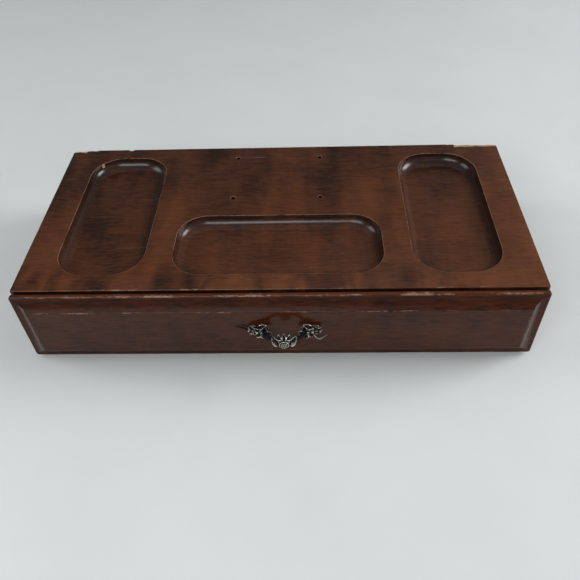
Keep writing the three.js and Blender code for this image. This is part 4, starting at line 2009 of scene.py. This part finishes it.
@dataclass
class FlowerPull:
    """The cast pull: a bow between two side flowers, a larger flower at its front, leaves at its ends."""

    finishes: Finishes
    centre_x: float = 5.75 * MM
    centre_z: float = 41 * MM
    spacing: float = 38 * MM
    bow_reach: float = 12.0 * MM
    flower_rise: float = 1.5 * MM
    bow_steps: int = 28

    def set_down(self, bm: BMesh, at: tuple[float, float, float], turn: float = 0.0) -> BMesh:
        """Moves a shape made about +Z to its place on the pull.

        Args:
            bm: The shape.
            at: Where its origin goes: across, up and forward from the middle of the pull's back.
            turn: How far it turns about its own axis.

        Returns:
            The same mesh.
        """
        spin = Matrix.Rotation(turn, 4, "Z")
        bmesh.ops.transform(bm, matrix=Matrix.Translation(Vector(at)) @ spin, verts=bm.verts)
        return bm

    def stem(self, outline: Sequence[tuple[float, float]], steps: int) -> BMesh:
        """Turns an outline in millimetres into a short stem."""
        return turned([(radius * MM, height * MM) for radius, height in outline], steps)

    def blossom(self, petal: Petal, count: int, at: tuple[float, float, float], turn: float) -> list[BMesh]:
        """Makes a ring of petals round one place; every other petal sits a little lower.

        Args:
            petal: The petal.
            count: How many petals there are.
            at: The middle of the ring.
            turn: Where the first petal points.

        Returns:
            The petals.
        """
        heights = [at[2] - (i % 2) * 0.35 * MM for i in range(count)]
        turns = [turn + 2 * math.pi * i / count for i in range(count)]
        return [
            self.set_down(petal.mesh(), (at[0], at[1], height), angle)
            for height, angle in zip(heights, turns, strict=True)
        ]

    def button(self, radius: float, rise: float, at: tuple[float, float, float]) -> list[BMesh]:
        """Makes the round seed head in the middle of a flower, with a rim and rings of small grains.

        Args:
            radius: The seed head's radius.
            rise: How far it stands out.
            at: Where it sits.

        Returns:
            The seed head and its grains.
        """
        outline = [
            (0.0, -2.0 * MM),
            (radius * 0.86, -2.0 * MM),
            (radius * 0.98, -0.4 * MM),
            (radius, rise * 0.45),
            (radius * 0.93, rise * 0.72),
            (radius * 0.82, rise * 0.66),
            (radius * 0.74, rise * 0.5),
            (radius * 0.5, rise * 0.72),
            (0.0, rise * 0.86),
        ]
        parts = [turned(outline, 32)]
        for reach, odd, count in ((0.0, 0, 1), (0.3, 0, 6), (0.56, 1, 11)):
            height = rise * (0.86 - 0.2 * reach)
            for i in range(count):
                angle = 2 * math.pi * (i + 0.5 * odd) / count
                spot = Vector((radius * reach * math.cos(angle), radius * reach * math.sin(angle), height))
                grain = bmesh.new()
                bmesh.ops.create_icosphere(grain, subdivisions=1, radius=radius * 0.125)
                bmesh.ops.translate(grain, vec=spot, verts=grain.verts)
                parts.append(grain)
        return [self.set_down(part, at) for part in parts]

    def bow(self) -> BMesh:
        """Makes the bow that joins the side flowers and carries the centre flower.

        Returns:
            The closed bow.
        """
        half = self.spacing / 2
        path = []
        widths = []
        thick = []
        for i in range(self.bow_steps + 1):
            t = i / self.bow_steps * 2 - 1
            swell = 1 - abs(t)
            rise = self.flower_rise * (1 - t * t)
            path.append(Vector((half * t, rise, 2.5 * MM + self.bow_reach * (1 - abs(t) ** 2.4))))
            beads = 0.14 * math.sin(i * 1.9) ** 2
            widths.append((1.3 + 1.1 * swell + beads) * MM)
            thick.append((1.2 + 0.9 * swell + beads) * MM)
        return sweep(path, widths, thick, 12)

    def leaf(self, path: Sequence[tuple[float, float, float]], width: float) -> BMesh:
        """Makes a slim leaf that lies along a path and ends in a point.

        Args:
            path: Points along its middle, in millimetres.
            width: Half its greatest width.

        Returns:
            The closed leaf.
        """
        points = [Vector(p) * MM for p in path]
        fine = []
        for a, b in zip(points, points[1:], strict=False):
            fine += [a.lerp(b, k / 4) for k in range(4)]
        fine.append(points[-1])
        swell = [math.sin(math.pi * (0.25 + 0.75 * i / (len(fine) - 1))) for i in range(len(fine))]
        widths = [max(0.12 * MM, width * max(0.0, part) ** 0.8) for part in swell]
        thick = [max(0.1 * MM, 0.42 * w) for w in widths]
        return sweep(fine, widths, thick, 8)

    def side_flower(self, side: int) -> list[BMesh]:
        """Makes one side of the pull: its post, its flower, the bud beside it and the small leaves.

        Args:
            side: -1 for the left, 1 for the right.

        Returns:
            Its parts.
        """
        half = self.spacing / 2 - 2 * MM
        x = side * half
        post = [(0.0, 0.0), (4.6, 0.0), (4.8, 0.6), (3.4, 1.8), (3.2, 4.6), (0.0, 5.2)]
        parts = [self.set_down(self.stem(post, 28), (x, 0.0, 0.0))]
        open_petal = Petal(6.9 * MM, 5.6 * MM, cup=1.5 * MM, arch=0.9 * MM, droop=-0.6 * MM)
        parts += self.blossom(open_petal, 5, (x, 0.0, 4.2 * MM), 0.35 * side + math.pi / 2)
        parts += self.button(1.7 * MM, 1.6 * MM, (x, 0.0, 5.4 * MM))
        bud = Petal(5.0 * MM, 4.4 * MM, cup=1.3 * MM, arch=1.2 * MM, droop=0.2 * MM)
        bud_at = (x + side * 7.2 * MM, 0.6 * MM, 2.6 * MM)
        parts += self.blossom(bud, 4, bud_at, 0.5)
        parts += self.button(1.2 * MM, 1.1 * MM, (bud_at[0], bud_at[1], 3.4 * MM))
        foot = [(0.0, 0.0), (2.6, 0.0), (2.7, 0.5), (1.7, 1.2), (1.5, 3.0), (0.0, 3.2)]
        parts.append(self.set_down(self.stem(foot, 24), (bud_at[0], bud_at[1], 0.0)))
        under = Petal(7.5 * MM, 3.6 * MM, cup=0.5 * MM, arch=0.8 * MM, droop=1.2 * MM)
        for angle in (-1.9, -1.15):
            heading = angle if side > 0 else math.pi - angle
            parts.append(self.set_down(under.mesh(), (x + side * 2.5 * MM, -0.5 * MM, 2.6 * MM), heading))
        return parts

    def centre_flower(self) -> list[BMesh]:
        """Makes the large flower at the front of the bow, its petals swept back round the seed head.

        Returns:
            Its parts.
        """
        high = self.flower_rise
        side = Petal(10 * MM, 8 * MM, 2.6 * MM, cup=2.8 * MM, arch=1.6 * MM, droop=2.8 * MM, point=0.35)
        slim = Petal(7.9 * MM, 3.6 * MM, 2.4 * MM, cup=1.7 * MM, arch=1.2 * MM, droop=2.2 * MM, point=0.45)
        back = Petal(6.6 * MM, 5 * MM, 2.4 * MM, cup=1.2 * MM, arch=1.0 * MM, droop=5.0 * MM)
        at = (0.0, high, 16.6 * MM)
        rings = ((side, (24, 156)), (slim, (57, 90, 123)), (back, (-18, -62, -90, -118, 198)))
        parts = []
        for petal, angles in rings:
            parts += [self.set_down(petal.mesh(), at, math.radians(angle)) for angle in angles]
        parts += self.button(3.9 * MM, 2.5 * MM, (0.0, high, 17.1 * MM))
        neck = [(0.0, 11.0), (4.4, 11.0), (3.4, 17.4), (0.0, 17.6)]
        parts.append(self.set_down(self.stem(neck, 24), (0.0, high, 0.0)))
        return parts

    def build(self) -> bpy.types.Object:
        """Builds the pull as one casting.

        Returns:
            The finished pull.
        """
        parts = [self.bow()]
        parts += self.centre_flower()
        for side in (-1, 1):
            parts += self.side_flower(side)
        left_tip = [(-22, 0, 1.6), (-27, -1, 1.8), (-31, 1.6, 1.5), (-35, 2.6, 1), (-39, 2.2, 0.4)]
        right_tip = [(22, -6.5, 1.6), (25, -11, 1.7), (27.5, -12, 1.5), (30, -10, 1.1), (32.9, -8.4, 0.4)]
        parts.append(self.leaf(left_tip, 1.15 * MM))
        parts.append(self.leaf(right_tip, 0.6 * MM))
        # The bow and the left leaf take the near-black silver: dark patina together with painted shade for the
        # shadow they sit in.
        for dark in (parts[0], parts[-2]):
            for face in dark.faces:
                face.material_index = 1
        bm = join(parts)
        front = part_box("drawer_front")[0].y
        bmesh.ops.rotate(bm, cent=(0, 0, 0), matrix=Matrix.Rotation(math.pi / 2, 3, "X"), verts=bm.verts)
        bmesh.ops.translate(bm, vec=(self.centre_x, front, self.centre_z), verts=bm.verts)
        place = Place(Body.DRAWER, ("drawer_pull",), "aged_silver")
        looks = [self.finishes.silver, self.finishes.patina_and_shade_silver]
        return finish_piece(bm, "flower_pull_piece", place, looks, smooth=180.0, subdivide=1)


# ---------------------------------------------------------------- the studio


@dataclass
class Studio:
    """A pale floor, soft light and the camera.

    Attributes:
        eye: Where the camera stands.
        heading: How far the camera turns from straight ahead.
        downward: How far it looks down.
        roll: How far it leans to one side.
        lens: Its focal length in millimetres.
        sensor: Its sensor's width in millimetres.
        floor_size: How far the floor reaches on each side.
        lamp_colour: The colour of every lamp.
    """

    eye: Vector = field(default_factory=lambda: Vector((0.0270, -0.39905, 0.3994)))
    heading: float = math.radians(-2.953)
    downward: float = math.radians(45.788)
    roll: float = math.radians(-2.650)
    lens: float = 38.05
    sensor: float = 36.0
    floor_size: float = 3.0
    lamp_colour: tuple[float, float, float] = (0.985, 0.995, 1.0)

    def floor(self) -> None:
        """Lays the floor."""
        bm = bmesh.new()
        bmesh.ops.create_grid(bm, x_segments=1, y_segments=1, size=self.floor_size)
        mesh = bpy.data.meshes.new("floor")
        bm.to_mesh(mesh)
        bm.free()
        plane = bpy.data.objects.new("floor", mesh)
        bpy.context.scene.collection.objects.link(plane)
        look, w, shader = new_material("table_top")
        own = w.own_place()
        smudge = w.noise(own, detail=5.0, rough=0.6, scale=9.0)
        clean, smudged = rgb(0.70, 0.72, 0.715), rgb(0.67, 0.69, 0.685)
        w.feed(shader.inputs["Base Color"], w.mix(w.span(smudge, 0.35, 0.7), clean, smudged))
        shader.inputs["Roughness"].default_value = 0.42
        mesh.materials.append(look)
        plane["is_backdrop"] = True

    def lamp(self, name: str, at: Vector, aim: Vector, size: tuple[float, float], power: float) -> None:
        """Hangs one soft lamp.

        Args:
            name: The lamp's name.
            at: Its middle.
            aim: The point that it faces.
            size: Its width and height.
            power: Its power in watts.
        """
        data = bpy.data.lights.new(name, "AREA")
        data.shape = "RECTANGLE"
        data.size, data.size_y = size
        data.energy = power
        data.color = self.lamp_colour
        lamp = bpy.data.objects.new(name, data)
        lamp.location = at
        lamp.rotation_mode = "QUATERNION"
        lamp.rotation_quaternion = (at - aim).to_track_quat("Z", "Y")
        bpy.context.scene.collection.objects.link(lamp)

    def room(self) -> None:
        """Sets the light of the room: dim behind the case, brighter in front and at the right."""
        world = bpy.data.worlds.new("room")
        world.use_nodes = True
        w = Wiring(world.node_tree)
        backdrop = world.node_tree.nodes["Background"]
        toward = w.node("ShaderNodeTexCoord").outputs["Generated"]
        across, deep, _ = w.split(toward)
        level = w.sums("ADD", w.span(deep, 0.3, -0.7, 0.0, 0.14), w.span(across, 0.1, 0.9, 0.0, 0.26))
        w.feed(backdrop.inputs["Strength"], w.sums("ADD", level, 0.12))
        backdrop.inputs["Color"].default_value = rgb(0.92, 0.98, 1.0)
        bpy.context.scene.world = world

    def lights(self) -> None:
        """Hangs four lamps: a long one in front, a strong one right, and weak ones left and overhead."""
        middle = Vector((0.0, 0.0, 0.04))
        self.lamp("front", Vector((-0.42, -1.2, 1.05)), middle, (1.25, 0.55), 11.5)
        self.lamp("window", Vector((1.7, 0.3, 0.9)), middle, (0.9, 0.8), 25.0)
        self.lamp("left_wall", Vector((-1.6, 0.1, 1.1)), middle, (0.9, 0.9), 9.5)
        self.lamp("overhead", Vector((-0.2, 0.4, 2.0)), middle, (2.6, 2.0), 4.5)

    def camera(self) -> None:
        """Sets the camera at its eye point, with its heading, downward tilt and roll."""
        ahead = Vector(
            (
                math.sin(self.heading) * math.cos(self.downward),
                math.cos(self.heading) * math.cos(self.downward),
                -math.sin(self.downward),
            )
        )
        right = ahead.cross(UP).normalized()
        upward = right.cross(ahead)
        rolled_right = right * math.cos(self.roll) + upward * math.sin(self.roll)
        rolled_up = upward * math.cos(self.roll) - right * math.sin(self.roll)
        data = bpy.data.cameras.new("camera")
        data.lens = self.lens
        data.sensor_width = self.sensor
        data.clip_start = 0.01
        camera = bpy.data.objects.new("camera", data)
        axes = Matrix((rolled_right, rolled_up, -ahead)).transposed().to_4x4()
        camera.matrix_world = Matrix.Translation(self.eye) @ axes
        bpy.context.scene.collection.objects.link(camera)
        bpy.context.scene.camera = camera

    def build(self) -> None:
        """Builds the studio."""
        self.floor()
        self.room()
        self.lights()
        self.camera()
        bpy.context.scene.view_settings.view_transform = "Standard"


def plain(corners: Iterable[Vector]) -> list[list[float]]:
    """Turns corners into plain lists of numbers."""
    return [list(corner) for corner in corners]


def main() -> None:
    """Builds the case, the drawer and the studio."""
    logging.basicConfig(level=logging.INFO, format="%(name)s %(message)s")
    frame_box = plain(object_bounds())
    Studio().build()
    finishes = Finishes()
    TopBoard(finishes).build()
    CaseShell(finishes).build()
    FootPads(finishes).build()
    DrawerFront(finishes).build()
    DrawerBox(finishes).build()
    ChipRacks(finishes).build()
    CardWells(finishes).build()
    FlowerPull(finishes).build()
    Fasteners(finishes).build()
    {"frame": frame_box, "visual": plain(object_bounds())}


if __name__ == "__main__":
    main()
